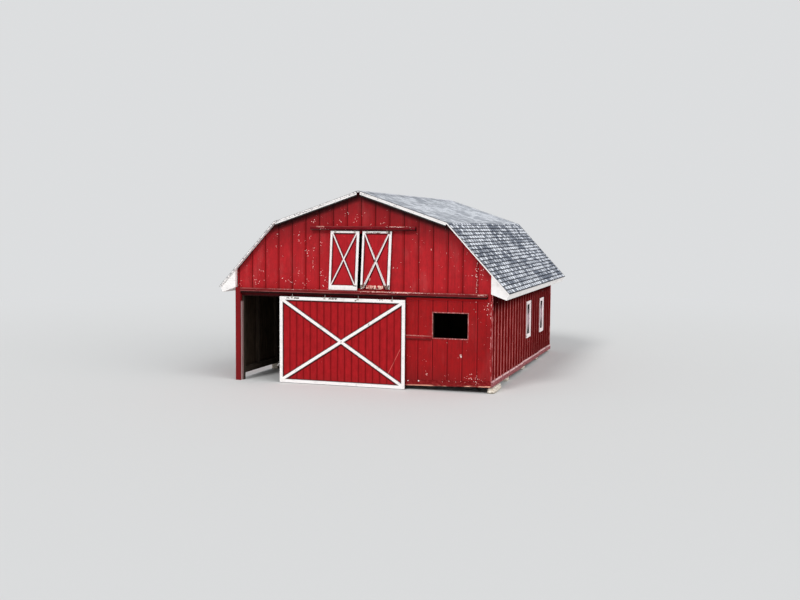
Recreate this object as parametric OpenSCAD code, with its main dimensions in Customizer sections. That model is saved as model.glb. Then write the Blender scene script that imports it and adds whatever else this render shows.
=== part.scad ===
// Small gambrel barn: post and siding walls, boxed eaves, a loft floor, a sliding front door
// on a box track and two loft leaves on a shorter one. Millimetres.
// X runs along the front wall, Y runs back from it and Z is up. The origin is on the
// ground at the middle of the plan.

/* [Plan] */
// Width over the siding
barn_w = 7363; // [6700:1:8500]
// Length over the siding
barn_l = 9754; // [8600:1:12200]
// Distance between the wall posts, which the rafters and joists share
bay_l = 1219; // [1000:1:1300]

/* [Levels] */
// Underside of the sills, on the footing blocks
sill_z = 160; // [80:1:200]
// Top of the loft floor
loft_z = 2662; // [2620:1:2675]
// Roof surface at the outer edge of the eaves
eave_z = 2652; // [2600:1:2750]
// Roof surface at the knee, where the pitch changes
knee_z = 4494; // [4440:1:4700]
// Roof surface at the ridge
ridge_z = 5337; // [5200:1:5700]

/* [Roof] */
// Half span at the knee
knee_x = 2485; // [2350:1:2650]
// Reach of the eaves beyond the siding
eave_out = 498; // [420:1:600]
// Reach of the roof beyond the gable walls
gable_out = 150; // [130:1:300]
// Thickness of the roof deck with its shingles
deck_t = 30; // [20:1:40]
// Thickness of the rafters, joists and purlins
rafter_w = 38; // [32:1:50]
// Depth of the rafters, square to the slope
rafter_d = 140; // [110:1:150]
// Depth of the ridge board and the knee purlins
purlin_d = 235; // [200:1:300]
// Depth of the seat cut in each rafter over the top plate
seat_d = 60; // [40:1:70]
// Width of the fascia boards
fascia_w = 170; // [165:1:200]
// Lean of the fascia boards, whose feet stand in from plumb
fascia_lean = 22; // [15:1:35]
// How far the roof deck drips past the fascia
drip = 12; // [6:1:25]
// Thickness of the soffit boards
soffit_t = 12; // [9:1:19]
// Height of the soffit's underside at the wall
soffit_z = 2640; // [2600:1:2680]
// How far the end boards of the eaves sit behind the roof edge
closure_set = 25; // [20:1:40]
// Width of the rake boards on the upper slopes
rake_w = 85; // [70:1:140]
// Width of the edge strip on all the rakes
strip_w = 38; // [34:1:60]
// Thickness of the edge strip
strip_t = 12; // [8:1:16]
// Gap between the rake boards at the peak
peak_gap = 90; // [10:1:120]
// Width of each wing of the ridge cap
cap_w = 150; // [100:1:200]
// Thickness of the ridge cap
cap_t = 10; // [6:1:14]

/* [Walls] */
// Thickness of the siding sheets
siding_t = 16; // [12:1:20]
// Side of the square wall posts
post_w = 89; // [75:1:110]
// Height of the sills
sill_h = 184; // [140:1:220]
// Depth of the loft joists and of the beams across the ends
joist_d = 235; // [200:1:260]
// Thickness of the loft floor
floor_t = 22; // [18:1:30]
// Thickness of the top plates
plate_t = 76; // [38:1:90]
// Width of the battens
batten_w = 38; // [30:1:50]
// Thickness of the battens and other trim boards
board_t = 19; // [15:1:22]
// Distance between battens
batten_pitch = 406.4; // [300:0.1:500]
// Distance of the end walls' middle batten from the middle of the barn
batten_x = 24; // [0:1:60]
// Width of the board down the right front corner
corner_w = 126; // [90:1:140]
// Width of the corner boards at the sides and the back
side_corner_w = 89; // [60:1:120]

/* [Skirt boards] */
// Width of the skirt boards
skirt_w = 152; // [120:1:200]
// Thickness of the skirt boards on the sides and the back
skirt_t = 38; // [20:1:45]
// Thickness of the skirt board on the front
front_skirt_t = 25; // [15:1:30]
// Height of their lower edge over the foot of the sills at the right front corner
skirt_up = 22; // [22:1:40]
// Fall of the side skirts towards the back
skirt_fall = 92; // [0:1:100]
// Fall of the front skirt towards the doorway
front_skirt_fall = 115; // [0:1:130]
// How much further each length of the side skirts hangs at its rear end
skirt_sag = 20; // [0:1:30]
// Place of the side skirts' front joint, as a share of the barn's length
skirt_joint = 0.455; // [0.3:0.005:0.55]
// Place of their rear joint
rear_skirt_joint = 0.745; // [0.6:0.005:0.9]

/* [Footings] */
// Length of a footing block
block_l = 390; // [300:1:450]
// Width of a footing block
block_w = 190; // [150:1:240]
// Bevel round the top of a footing block
block_bevel = 18; // [5:1:30]
// Length of the block under the right front corner
corner_block_l = 1000; // [390:1:1200]
// How far that block stands out from the sill
corner_block_out = 100; // [0:1:110]

/* [Side windows] */
// Width of the window openings in the sides
win_w = 570; // [400:1:800]
// Height of those openings
win_h = 1000; // [700:1:1100]
// Height of their lower edge
win_z = 1015; // [900:1:1150]
// Width of the trim round them
win_trim = 70; // [60:1:110]
// Thickness of that trim
win_trim_t = 25; // [20:1:30]
// Width of the sash members
sash_w = 38; // [35:1:70]
// Thickness of the sash
sash_t = 35; // [28:1:40]
// Thickness of the panes
pane_t = 4; // [3:1:6]
// How far the side windows stand in front of the middle of their bays
win_ahead = 90; // [0:1:200]
// How much lower the rear window of each side stands
win_drop = 60; // [0:1:80]

/* [Front window] */
// Distance of the open window in the front from the right corner
hole_in = 637; // [500:1:800]
// Width of that opening
hole_w = 955; // [800:1:1000]
// Height of its lower edge
hole_z = 1430; // [1300:1:1500]
// Height of that opening
hole_h = 670; // [500:1:750]
// Width of the edging round it
edging_w = 24; // [15:1:35]
// Thickness of the edging round it
edging_t = 10; // [6:1:16]
// Length of the ledger beside it
ledger_l = 1020; // [800:1:1200]
// Height of the ledger's lower edge
ledger_z = 1368; // [1330:1:1420]
// Width of the ledger board
ledger_w = 110; // [80:1:140]
// Thickness of the ledger board
ledger_t = 38; // [25:1:38]

/* [Sliding door] */
// Width of the doorway
doorway_w = 3440; // [3200:1:3500]
// Width of the jamb at its left side, which stands out as far as the ends of the eaves
jamb_w = 150; // [120:1:170]
// Width of the door
door_w = 3658; // [3640:1:3800]
// Height of the door
door_h = 2405; // [2380:1:2420]
// Gap under the door
door_z = 15; // [10:1:30]
// Left edge of the door as it stands, half open
door_x = -2318; // [-3000:1:-2000]
// Gap between the siding and the back of the door
door_stand = 46; // [44:1:60]
// Thickness of the frame on the back of the door
rail_t = 38; // [25:1:45]
// Width of the members on the back of the door
rail_w = 89; // [70:1:120]
// Thickness of the grooved door panel
panel_t = 16; // [12:1:19]
// Distance between the grooves
groove_pitch = 203.2; // [150:0.1:250]
// Width of a groove
groove_w = 10; // [6:1:14]
// Depth of a groove
groove_d = 6; // [3:1:8]
// Width of the boards that frame the door's face
frame_w = 100; // [80:1:120]
// Width of the crossed braces
brace_w = 100; // [80:1:120]
// Distance from the door's edge to its outer hangers
hanger_in = 370; // [250:1:500]
// Radius to which the pull bar is bent
pull_r = 75; // [50:1:100]
// Diameter of the pull bar
pull_d = 14; // [10:1:20]
// Height of the pull bar above the door's foot
pull_z = 520; // [400:1:900]

/* [Tracks and hangers] */
// Width of the box track
track_w = 60; // [58:1:66]
// Height of the box track
track_h = 56; // [54:1:60]
// Wall of the box track
track_t = 4; // [3:1:4]
// Slot in the bottom of the box track
slot_w = 24; // [24:1:26]
// Gap between the top of the door and its track
track_gap = 80; // [60:1:90]
// Gap between the top of the loft leaves and their track
loft_track_gap = 26; // [20:1:40]
// Width of a roller
roller_w = 8; // [6:1:8]
// Diameter of a roller
roller_d = 36; // [30:1:38]
// Distance between a hanger's two axles
axle_gap = 46; // [42:1:60]
// Diameter of those axles
axle_d = 8; // [6:1:10]
// Height of the block that carries them
block_h = 16; // [12:1:20]
// Length of that block
block_span = 72; // [60:1:90]
// Thickness of the arms that hold a track to the wall
arm_t = 8; // [5:1:12]
// Diameter of a hanger's bolt
bolt_d = 12; // [10:1:12]
// Width of a hanger's strap
strap_w = 60; // [40:1:80]
// Thickness of a hanger's strap
strap_t = 6; // [4:1:8]
// Length of the strap's leg down the face of a door
leg_l = 45; // [30:1:120]
// Distance of the track's right end from the corner of the barn
track_end = 105; // [60:1:300]
// Gap between the top of the door and the board behind its track
track_board_gap = 20; // [10:1:30]
// Height of the board behind the door's track
track_board_h = 190; // [180:1:215]
// Thickness of the board behind the door's track
track_board_t = 38; // [25:1:38]
// Height of the face of the hood over the door's track
hood_face = 90; // [70:1:100]
// Room between a track and the inside of its hood
hood_room = 6; // [5:1:12]

/* [Loft doors] */
// Width of the loft doorway
loft_open_w = 1500; // [1300:1:1560]
// How far the head of each leaf laps over the top of the loft doorway
leaf_lap = 64; // [30:1:120]
// Height of its sill above the loft floor
loft_sill = 26; // [10:1:60]
// Width of a leaf
leaf_w = 828; // [800:1:850]
// Height of a leaf
leaf_h = 1610; // [1560:1:1650]
// Gap under the leaves, over the hood of the track below
leaf_clear = 12; // [6:1:30]
// How far the foot of each leaf hangs to the left
leaf_rack = 62; // [0:1:90]
// Gap between the two leaves
leaf_gap = 95; // [20:1:120]
// Middle of that gap at the top
leaf_mid = 64; // [20:1:100]
// Thickness of a leaf's panel
leaf_panel_t = 12; // [9:1:16]
// Height of the strip that the right leaf has lost from its foot
leaf_lost = 45; // [30:1:60]
// Width of a leaf's frame
leaf_frame_w = 62; // [50:1:80]
// Width of the right-hand stile of that frame
leaf_stile_w = 76; // [50:1:90]
// Width of the left leaf's bottom rail
leaf_foot_w = 135; // [80:1:160]
// Width of a leaf's crossed braces
leaf_brace_w = 46; // [35:1:60]
// Distance from a leaf's edge to its hangers
leaf_hanger_in = 130; // [80:1:200]
// Length of the loft track
loft_track_l = 3000; // [2600:1:3200]
// Middle of the loft track
loft_track_x = 100; // [40:1:160]
// Gap between the top of the loft leaves and the board behind their track
loft_board_gap = 18; // [10:1:30]
// Height of the board behind the loft track
loft_board_h = 110; // [100:1:140]
// Thickness of the board behind the loft track
loft_board_t = 19; // [15:1:22]

/* [Hidden] */
$fn = 32;

// Free play that keeps neighbouring boards of one sub-part from touching
play = 2;
// Free play of a roller beside the slot that its bolt passes
roller_play = 1;
// Running gap between a roller and the lip that it rolls on
roll_gap = 0.3;
// Gap between pieces that meet on a slope
seat_gap = 0.3;
// Longer than any cut needs to be
past = 1;

// Faces of the walls
wall_x = barn_w / 2;
front_y = -barn_l / 2;
back_y = barn_l / 2;
// Outer and inner faces of the posts
post_x = wall_x - siding_t;
inner_x = post_x - post_w;
post_y = barn_l / 2 - siding_t;
inner_y = post_y - post_w;

// Roof lines
eave_x = wall_x + eave_out;
upper_run = (ridge_z - knee_z) / knee_x;
lower_run = (knee_z - eave_z) / (eave_x - knee_x);
upper_a = atan(upper_run);
lower_a = atan(lower_run);
slope_l = (eave_x - knee_x) / cos(lower_a);
roof_y = barn_l / 2 + gable_out;
deck_y = roof_y - strip_t;
fascia_s = slope_l - drip - board_t / cos(lower_a - fascia_lean);
closure_y = deck_y - closure_set;
// Depths below the roof surface, square to it, of the top and the underside of the rafters
rafter_top = deck_t + seat_gap;
rafter_low = deck_t + rafter_d;

// Height of the upper or the lower slope at x, at a depth square to it
function upper_line(x, d) = ridge_z - d / cos(upper_a) - x * upper_run;
function lower_line(x, d) = knee_z - d / cos(lower_a) - (x - knee_x) * lower_run;
function roof_line(x, d) = min(upper_line(abs(x), d), lower_line(abs(x), d));
// Where the two slopes meet at a depth below the surface
function knee_at(d) = knee_x + d * (1 / cos(upper_a) - 1 / cos(lower_a)) / (lower_run - upper_run);
function knee_point(d) = [knee_at(d), upper_line(knee_at(d), d)];
// Point at a distance down the lower slope from the knee and a depth square to it
function on_slope(s, d) = [knee_x + s * cos(lower_a) - d * sin(lower_a),
                           knee_z - s * sin(lower_a) - d * cos(lower_a)];

// Point at a distance down the rafter tails, which are cut to lean as the fascias do
fascia_way = [-sin(fascia_lean), -cos(fascia_lean)];
function tail_at(t) = on_slope(fascia_s - seat_gap, rafter_top) + t * fascia_way;
soffit_rise = soffit_t / cos(fascia_lean);
// Underside of the soffit at a distance out from the siding
soffit_end = tail_at(fascia_w);
function soffit_at(out) = soffit_z + out * (soffit_end[1] - soffit_z) / (soffit_end[0] - wall_x);
trim_top = soffit_at(board_t) - play;

// Frames: posts, joists and rafters stand on shared lines across the barn
bays = round(barn_l / bay_l);
function bay_y(i) = front_y + i * barn_l / bays;
function frame_y(i) = max(-post_y + post_w / 2, min(post_y - post_w / 2, bay_y(i)));
function rafter_y(i) = max(-post_y + rafter_w / 2, min(post_y - rafter_w / 2, bay_y(i)));
function joist_y(i) = frame_y(i) + (i < bays / 2 ? 1 : -1) * (post_w + rafter_w) / 2;
sill_top = sill_z + sill_h;
joist_top = loft_z - floor_t;
joist_z = joist_top - joist_d;
plate_top = lower_line(post_x, rafter_low) + seat_d;
plate_z = plate_top - plate_t;
side_top = lower_line(wall_x, rafter_low) - seat_gap;

// Doorway and door
doorway_l = -inner_x + play + post_w;
doorway_r = doorway_l + doorway_w;
jamb_r = -wall_x + jamb_w;
door_back = front_y - door_stand;
door_t = rail_t + panel_t + board_t;
door_face = door_back - door_t;
door_top = door_z + door_h;
door_mid_y = door_back - door_t / 2;
track_z = door_top + track_gap;
track_l = jamb_r + play;
track_r = wall_x - track_end;
hanger_span = (door_w - 2 * hanger_in) / 3;
// Board and hood over the door's track
track_board_z = door_top + track_board_gap;
hood_z = track_board_z + track_board_h;
hood_y = door_mid_y - track_w / 2 - hood_room;

// Loft doorway and leaves
loft_open_x = leaf_mid - leaf_rack / 2;
leaf_z = hood_z + leaf_clear;
leaf_top = leaf_z + leaf_h;
loft_open_z = loft_z + loft_sill;
loft_open_h = leaf_top - leaf_lap - loft_open_z;
leaf_t = leaf_panel_t + board_t;
leaf_mid_y = door_back - leaf_t / 2;
loft_track_z = leaf_top + loft_track_gap;
loft_board_z = leaf_top + loft_board_gap;
loft_hood_z = loft_board_z + loft_board_h;
loft_hood_y = leaf_mid_y - track_w / 2 - hood_room;

// Open window in the front
hole_x = wall_x - hole_in - hole_w;

// Bays of the side walls that hold a window, counted from the front
window_bays = [4, 6];
function window_y(i) = (bay_y(i) + bay_y(i + 1)) / 2 - win_ahead;
function window_z(i) = i == window_bays[0] ? win_z : win_z - win_drop;

function batten_at(k) = batten_x + k * batten_pitch;

// Lower edges of the skirt boards: three lengths on each side, one on the front
skirt_z = sill_z + skirt_up;
skirt_cuts = [front_y, front_y + skirt_joint * barn_l, front_y + rear_skirt_joint * barn_l, back_y];
function skirt_start(i) = skirt_z - skirt_fall * (skirt_cuts[i] - front_y) / barn_l;
function skirt_end(i) = skirt_start(i + 1) - skirt_sag;
function skirt_length(y) = y < skirt_cuts[1] ? 0 : y < skirt_cuts[2] ? 1 : 2;
function skirt_low(y, i) = skirt_start(i)
  + (skirt_end(i) - skirt_start(i)) * (y - skirt_cuts[i]) / (skirt_cuts[i + 1] - skirt_cuts[i]);
function skirt_top(y) = skirt_low(y, skirt_length(y)) + skirt_w;
back_skirt_z = skirt_end(2);
function front_skirt_low(x) = skirt_z - front_skirt_fall * (wall_x - x) / (wall_x - doorway_r);
function front_skirt_top(x) = front_skirt_low(x) + skirt_w;

red = [0.63, 0.13, 0.14];
dark_red = [0.45, 0.11, 0.11];
white = [0.93, 0.92, 0.9];
timber = [0.55, 0.45, 0.34];
shingle = [0.42, 0.44, 0.47];
steel = [0.3, 0.3, 0.31];
concrete = [0.72, 0.7, 0.66];
glass = [0.25, 0.3, 0.33, 0.6];

// A box between two corners
module span(a, b) { translate(a) cube(b - a); }

// An outline in X and Z, carried along Y
module along_y(y0, y1) {
  translate([0, y1, 0]) rotate([90, 0, 0]) linear_extrude(y1 - y0) children();
}

module both_sides() {
  children();
  mirror([1, 0, 0]) children();
}

module both_ends() {
  children();
  mirror([0, 1, 0]) children();
}

// Footings and sills

module footing_block(x, y, turned, long = block_l) {
  translate([x, y, 0]) rotate([0, 0, turned ? 90 : 0]) {
    translate([-long / 2, -block_w / 2, 0]) cube([long, block_w, sill_z - block_bevel]);
    translate([-long / 2 + block_bevel, -block_w / 2 + block_bevel, 0])
      cube([long - 2 * block_bevel, block_w - 2 * block_bevel, sill_z]);
  }
}

module footing_blocks() {
  in_x = post_x - block_w / 2;
  in_y = post_y - block_w / 2;
  color(concrete) {
    for (i = [2 : 2 : bays]) {
      y = min(bay_y(i), post_y - block_l / 2);
      footing_block(-in_x, y, true);
      footing_block(in_x, y, true);
    }
    footing_block(in_x + corner_block_out, -post_y + corner_block_l / 2, true, corner_block_l);
    footing_block(doorway_r + post_w + block_l / 2 + play, -in_y, false);
    for (x = [-1, 0, 1]) footing_block(x * barn_w / 4, in_y, false);
  }
}

module sill_beams() {
  color(timber) {
    span([inner_x, -post_y, sill_z], [post_x, post_y, sill_top]);
    span([-post_x, -inner_y + play, sill_z], [-inner_x, post_y, sill_top]);
    span([-inner_x + play, inner_y, sill_z], [inner_x - play, post_y, sill_top]);
    span([doorway_r + post_w + play, -post_y, sill_z], [inner_x - play, -inner_y, sill_top]);
  }
}

// Posts, beams and plates

module post(x, y, z0, z1) {
  translate([x - post_w / 2, y - post_w / 2, z0]) cube([post_w, post_w, z1 - z0]);
}

// A post in a gable, its head cut to the rafter above it
module gable_post(x, z0, y0, y1) {
  xs = [x - post_w / 2, x, x + post_w / 2];
  along_y(y0, y1)
    polygon(concat([[xs[0], z0]], [for (p = xs) [p, roof_line(p, rafter_low + seat_gap)]], [[xs[2], z0]]));
}

module wall_posts() {
  side = post_x - post_w / 2;
  jambs = [hole_x - post_w / 2, hole_x + hole_w + post_w / 2];
  loft_jambs = [for (side = [-1, 1]) loft_open_x + side * (loft_open_w + post_w) / 2];
  color(timber) {
    for (i = [0 : bays]) {
      post(side, frame_y(i), sill_top, plate_z);
      post(-side, frame_y(i), i == 0 ? 0 : sill_top, plate_z);
    }
    // The doorway's own posts run down to the ground
    post(doorway_l - post_w / 2, -post_y + post_w / 2, 0, joist_z);
    post(doorway_r + post_w / 2, -post_y + post_w / 2, 0, joist_z);
    for (x = jambs) post(x, -post_y + post_w / 2, sill_top, joist_z);
    for (x = [-1, 0, 1]) post(x * barn_w / 4, post_y - post_w / 2, sill_top, joist_z);
    for (x = loft_jambs) gable_post(x, joist_top, -post_y, -inner_y);
    for (x = [-1, 1]) gable_post(x * barn_w / 4, joist_top, inner_y, post_y);
  }
}

module end_beams() {
  color(timber) both_ends()
    span([-inner_x, -post_y, joist_z], [inner_x, -inner_y, joist_top]);
}

module top_plates() {
  color(timber) both_sides() span([inner_x, -post_y, plate_z], [post_x, post_y, plate_top]);
}

// Loft floor

module loft_joists() {
  color(timber) for (i = [0 : bays])
    span([-post_x, joist_y(i) - rafter_w / 2, joist_z], [post_x, joist_y(i) + rafter_w / 2, joist_top]);
}

module loft_floor() {
  color(timber) span([-inner_x, -inner_y, joist_top], [inner_x, inner_y, loft_z]);
}

// Roof frame

module purlins() {
  half = rafter_w / 2;
  kx = knee_at(rafter_top);
  ridge_top = upper_line(0, rafter_top);
  color(timber) {
    along_y(-post_y, post_y) polygon([[-half, upper_line(half, rafter_top)], [0, ridge_top],
      [half, upper_line(half, rafter_top)], [half, ridge_top - purlin_d], [-half, ridge_top - purlin_d]]);
    both_sides() along_y(-post_y, post_y) polygon([[kx - half, upper_line(kx - half, rafter_top)],
      knee_point(rafter_top), [kx + half, lower_line(kx + half, rafter_top)],
      [kx + half, knee_z - purlin_d - deck_t], [kx - half, knee_z - purlin_d - deck_t]]);
  }
}

module rafters_upper() {
  x0 = rafter_w / 2;
  x1 = knee_at(rafter_top) - rafter_w / 2;
  color(timber) both_sides() for (i = [0 : bays])
    along_y(rafter_y(i) - rafter_w / 2, rafter_y(i) + rafter_w / 2)
      polygon([[x0, upper_line(x0, rafter_top)], [x1, upper_line(x1, rafter_top)],
               [x1, upper_line(x1, rafter_low)], [x0, upper_line(x0, rafter_low)]]);
}

// The foot of each rafter has a seat cut over the top plate and a leaning tail for the fascia
module rafters_lower() {
  x0 = knee_at(rafter_top) + rafter_w / 2;
  seat_x = post_x - seat_d / lower_run;
  tail_l = min(rafter_d / cos(lower_a - fascia_lean), fascia_w - soffit_rise - play);
  color(timber) both_sides() for (i = [0 : bays])
    along_y(rafter_y(i) - rafter_w / 2, rafter_y(i) + rafter_w / 2)
      polygon([[x0, lower_line(x0, rafter_top)], tail_at(0), tail_at(tail_l),
               [post_x, lower_line(post_x, rafter_low)], [post_x, plate_top], [seat_x, plate_top],
               [x0, lower_line(x0, rafter_low)]]);
}

// Roof surface

module roof_upper() {
  along_y(-deck_y, deck_y) polygon([[0, ridge_z], [knee_x, knee_z], knee_point(deck_t),
                                    [0, upper_line(0, deck_t)]]);
}

module roof_lower() {
  x0 = knee_x + seat_gap;
  x1 = knee_at(deck_t) + seat_gap;
  along_y(-deck_y, deck_y) polygon([[x0, lower_line(x0, 0)], on_slope(slope_l, 0),
                                    on_slope(slope_l, deck_t), [x1, lower_line(x1, deck_t)]]);
}

module roof_upper_right() { color(shingle) roof_upper(); }
module roof_upper_left() { color(shingle) mirror([1, 0, 0]) roof_upper(); }
module roof_lower_right() { color(shingle) roof_lower(); }
module roof_lower_left() { color(shingle) mirror([1, 0, 0]) roof_lower(); }

module ridge_cap() {
  wing = cap_w * cos(upper_a);
  reach = wing + cap_t * sin(upper_a);
  low = -seat_gap;
  top = low - cap_t;
  color(shingle) along_y(-roof_y, roof_y)
    polygon([[0, upper_line(0, low)], [wing, upper_line(wing, low)], [reach, upper_line(reach, top)],
             [0, upper_line(0, top)], [-reach, upper_line(reach, top)], [-wing, upper_line(wing, low)]]);
}

// Boards along the rakes: a strip over the edge of the deck all the way down, and a wider
// board under the deck on the upper slope
module rake_board() {
  x0 = peak_gap / 2;
  deep = deck_t + rake_w;
  along_y(-roof_y, -deck_y)
    polygon([[x0, upper_line(x0, 0)], [knee_x, knee_z], on_slope(slope_l, 0),
             on_slope(slope_l, strip_w), knee_point(strip_w), [x0, upper_line(x0, strip_w)]]);
  along_y(-deck_y, -deck_y + board_t)
    polygon([[x0, upper_line(x0, rafter_top)], knee_point(rafter_top), knee_point(deep),
             [x0, upper_line(x0, deep)]]);
}

module rake_boards() { color(white) both_ends() both_sides() rake_board(); }

// Boxed eaves

module fascia_boards() {
  back = [on_slope(fascia_s, rafter_top), on_slope(fascia_s, rafter_top) + fascia_w * fascia_way];
  across = board_t * [cos(fascia_lean), -sin(fascia_lean)];
  color(white) both_sides() along_y(-closure_y, closure_y)
    polygon([back[0], on_slope(slope_l - drip, rafter_top), back[1] + across, back[1]]);
}

module soffit_boards() {
  reach = closure_y - board_t;
  color(white) both_sides() along_y(-reach, reach)
    polygon([tail_at(fascia_w - soffit_rise), soffit_end, [wall_x, soffit_z], [wall_x, soffit_z + soffit_t]]);
}

// End board of an eave, with a return back to the gable wall
module eave_closure() {
  along_y(-closure_y, -closure_y + board_t)
    polygon([[wall_x, soffit_z], soffit_end, tail_at(0), [wall_x, lower_line(wall_x, rafter_top)]]);
  along_y(-closure_y, front_y)
    polygon([[wall_x, soffit_z + soffit_t + play], [wall_x + board_t, soffit_z + soffit_t + play],
             [wall_x + board_t, lower_line(wall_x + board_t, rafter_top)],
             [wall_x, lower_line(wall_x, rafter_top)]]);
}

module eave_closures() { color(white) both_ends() both_sides() eave_closure(); }

// Siding

module side_wall() {
  difference() {
    span([post_x, front_y, sill_z], [wall_x, back_y, side_top]);
    for (i = window_bays)
      span([post_x - past, window_y(i) - win_w / 2, window_z(i)],
           [wall_x + past, window_y(i) + win_w / 2, window_z(i) + win_h]);
  }
}

module siding_right() { color(dark_red) side_wall(); }
module siding_left() { color(dark_red) mirror([1, 0, 0]) side_wall(); }

// Outline of a gable wall from a level up to the roof deck, with an ear over each side wall
module gable_outline(z0) {
  ear_z = side_top + seat_gap;
  half = [[post_x, z0], [post_x, ear_z], [wall_x, ear_z], [wall_x, lower_line(wall_x, rafter_top)],
          knee_point(rafter_top)];
  polygon(concat(half, [[0, upper_line(0, rafter_top)]], [for (i = [4 : -1 : 0]) [-half[i][0], half[i][1]]]));
}

module siding_back() { color(dark_red) along_y(post_y, back_y) gable_outline(sill_z); }

module siding_gable() {
  color(red) along_y(front_y, -post_y) difference() {
    gable_outline(joist_z);
    translate([loft_open_x - loft_open_w / 2, loft_open_z]) square([loft_open_w, loft_open_h]);
  }
}

module siding_front() {
  color(red) {
    difference() {
      span([doorway_r, front_y, sill_z], [post_x, -post_y, joist_z]);
      span([hole_x, front_y - past, hole_z], [hole_x + hole_w, -post_y + past, hole_z + hole_h]);
    }
    // Strip behind the jamb
    span([-post_x, front_y, sill_z], [jamb_r, -post_y, joist_z]);
  }
}

// Battens

function side_batten_low(y) = max(skirt_top(y - batten_w / 2), skirt_top(y + batten_w / 2)) + play;

module battens_sides() {
  count = floor(barn_l / batten_pitch / 2);
  color(dark_red) both_sides() difference() {
    for (k = [-count : count]) if (abs(k * batten_pitch) < barn_l / 2 - side_corner_w - batten_w)
      span([wall_x, k * batten_pitch - batten_w / 2, side_batten_low(k * batten_pitch)],
           [wall_x + board_t, k * batten_pitch + batten_w / 2, trim_top]);
    for (i = window_bays)
      span([wall_x - past, window_y(i) - win_w / 2 - win_trim - play, window_z(i) - win_trim - play],
           [wall_x + board_t + past, window_y(i) + win_w / 2 + win_trim + play,
            window_z(i) + win_h + win_trim + play]);
  }
}

// A batten on an end wall, from a level up to the roof deck
module tall_batten(x, z0) {
  xs = [x - batten_w / 2, x, x + batten_w / 2];
  polygon(concat([[xs[0], z0]], [for (p = xs) [p, roof_line(p, rafter_top)]], [[xs[2], z0]]));
}

function front_batten_low(k) = front_skirt_top(batten_at(k) + batten_w / 2) + play;

module battens_ends() {
  count = floor(wall_x / batten_pitch);
  y0 = front_y - board_t;
  color(red) {
    // Lower part of the front, right of the doorway
    along_y(y0, front_y) difference() {
      for (k = [0 : count]) if (batten_at(k) < wall_x - corner_w - batten_w)
        translate([batten_at(k) - batten_w / 2, front_batten_low(k)])
          square([batten_w, track_board_z - front_batten_low(k)]);
      translate([hole_x - edging_w - play, hole_z - edging_w - play])
        square([hole_w + 2 * (edging_w + play), hole_h + 2 * (edging_w + play)]);
      translate([hole_x - edging_w - ledger_l - 2 * play, ledger_z - play])
        square([ledger_l + 2 * play, ledger_w + 2 * play]);
    }
    // Gable over the track
    along_y(y0, front_y) difference() {
      for (k = [-count : count]) if (abs(batten_at(k)) < post_x - batten_w)
        tall_batten(batten_at(k), hood_z);
      translate([loft_open_x - loft_open_w / 2, loft_open_z]) square([loft_open_w, loft_open_h]);
      translate([loft_track_x - loft_track_l / 2 - play, loft_board_z - play])
        square([loft_track_l + 2 * play, loft_board_h + 2 * play]);
    }
    // Back wall
    along_y(back_y, back_y + board_t)
      for (k = [-count : count]) if (abs(batten_at(k)) < wall_x - corner_w - batten_w)
        tall_batten(batten_at(k), back_skirt_z + skirt_w);
  }
}

module corner_boards() {
  low = back_skirt_z + skirt_w;
  y0 = front_y - board_t;
  color(red) {
    // The jamb runs down to the ground and ends the track
    span([-wall_x, -closure_y, 0], [jamb_r, front_y, soffit_z - play]);
    span([wall_x - corner_w, y0, front_skirt_top(wall_x) + play], [wall_x, front_y, track_board_z - play]);
    both_sides() along_y(back_y, back_y + board_t)
      polygon([[wall_x - corner_w, low], [post_x, low], [post_x, lower_line(post_x, rafter_top)],
               [wall_x - corner_w, lower_line(wall_x - corner_w, rafter_top)]]);
    both_sides() for (y = [front_y, back_y - side_corner_w])
      span([wall_x, y, skirt_top(y) + play], [wall_x + board_t, y + side_corner_w, trim_top]);
  }
}

// One length of the skirt on the right side
module side_skirt(i) {
  y0 = skirt_cuts[i] + (i > 0 ? play : 0);
  y1 = skirt_cuts[i + 1];
  translate([wall_x, 0, 0]) rotate([90, 0, 90]) linear_extrude(skirt_t)
    polygon([[y0, skirt_low(y0, i)], [y1, skirt_low(y1, i)],
             [y1, skirt_low(y1, i) + skirt_w], [y0, skirt_low(y0, i) + skirt_w]]);
}

module skirt_boards() {
  right = wall_x - play;
  color(dark_red) {
    both_sides() for (i = [0 : 2]) side_skirt(i);
    span([-right, back_y, back_skirt_z], [right, back_y + skirt_t, back_skirt_z + skirt_w]);
    along_y(front_y - front_skirt_t, front_y)
      polygon([[doorway_r, front_skirt_low(doorway_r)], [right, front_skirt_low(right)],
               [right, front_skirt_top(right)], [doorway_r, front_skirt_top(doorway_r)]]);
  }
}

// Tracks, hoods and hangers

// Cross section of a box track: the rollers run on its two lips
module track_section() {
  half = track_w / 2;
  difference() {
    translate([-half, 0]) square([track_w, track_h]);
    translate([-half + track_t, track_t]) square([track_w - 2 * track_t, track_h - 2 * track_t]);
    translate([-slot_w / 2, -past]) square([slot_w, track_t + 2 * past]);
  }
}

// A track from x0 to x1 with an arm to the wall in each bay
module track(x0, x1, y, z, arm_y) {
  arms = max(2, round((x1 - x0) / bay_l));
  translate([x0, y, z]) rotate([90, 0, 90]) linear_extrude(x1 - x0) track_section();
  for (i = [0 : arms - 1])
    span([x0 + (i + 0.5) * (x1 - x0) / arms - rafter_w / 2, y, z + track_h],
         [x0 + (i + 0.5) * (x1 - x0) / arms + rafter_w / 2, arm_y, z + track_h + arm_t]);
}

module door_track() {
  color(steel) track(track_l, track_r, door_mid_y, track_z, front_y - track_board_t);
}

module loft_track() {
  color(steel) track(loft_track_x - loft_track_l / 2, loft_track_x + loft_track_l / 2, leaf_mid_y,
                     loft_track_z, front_y - loft_board_t);
}

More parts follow.
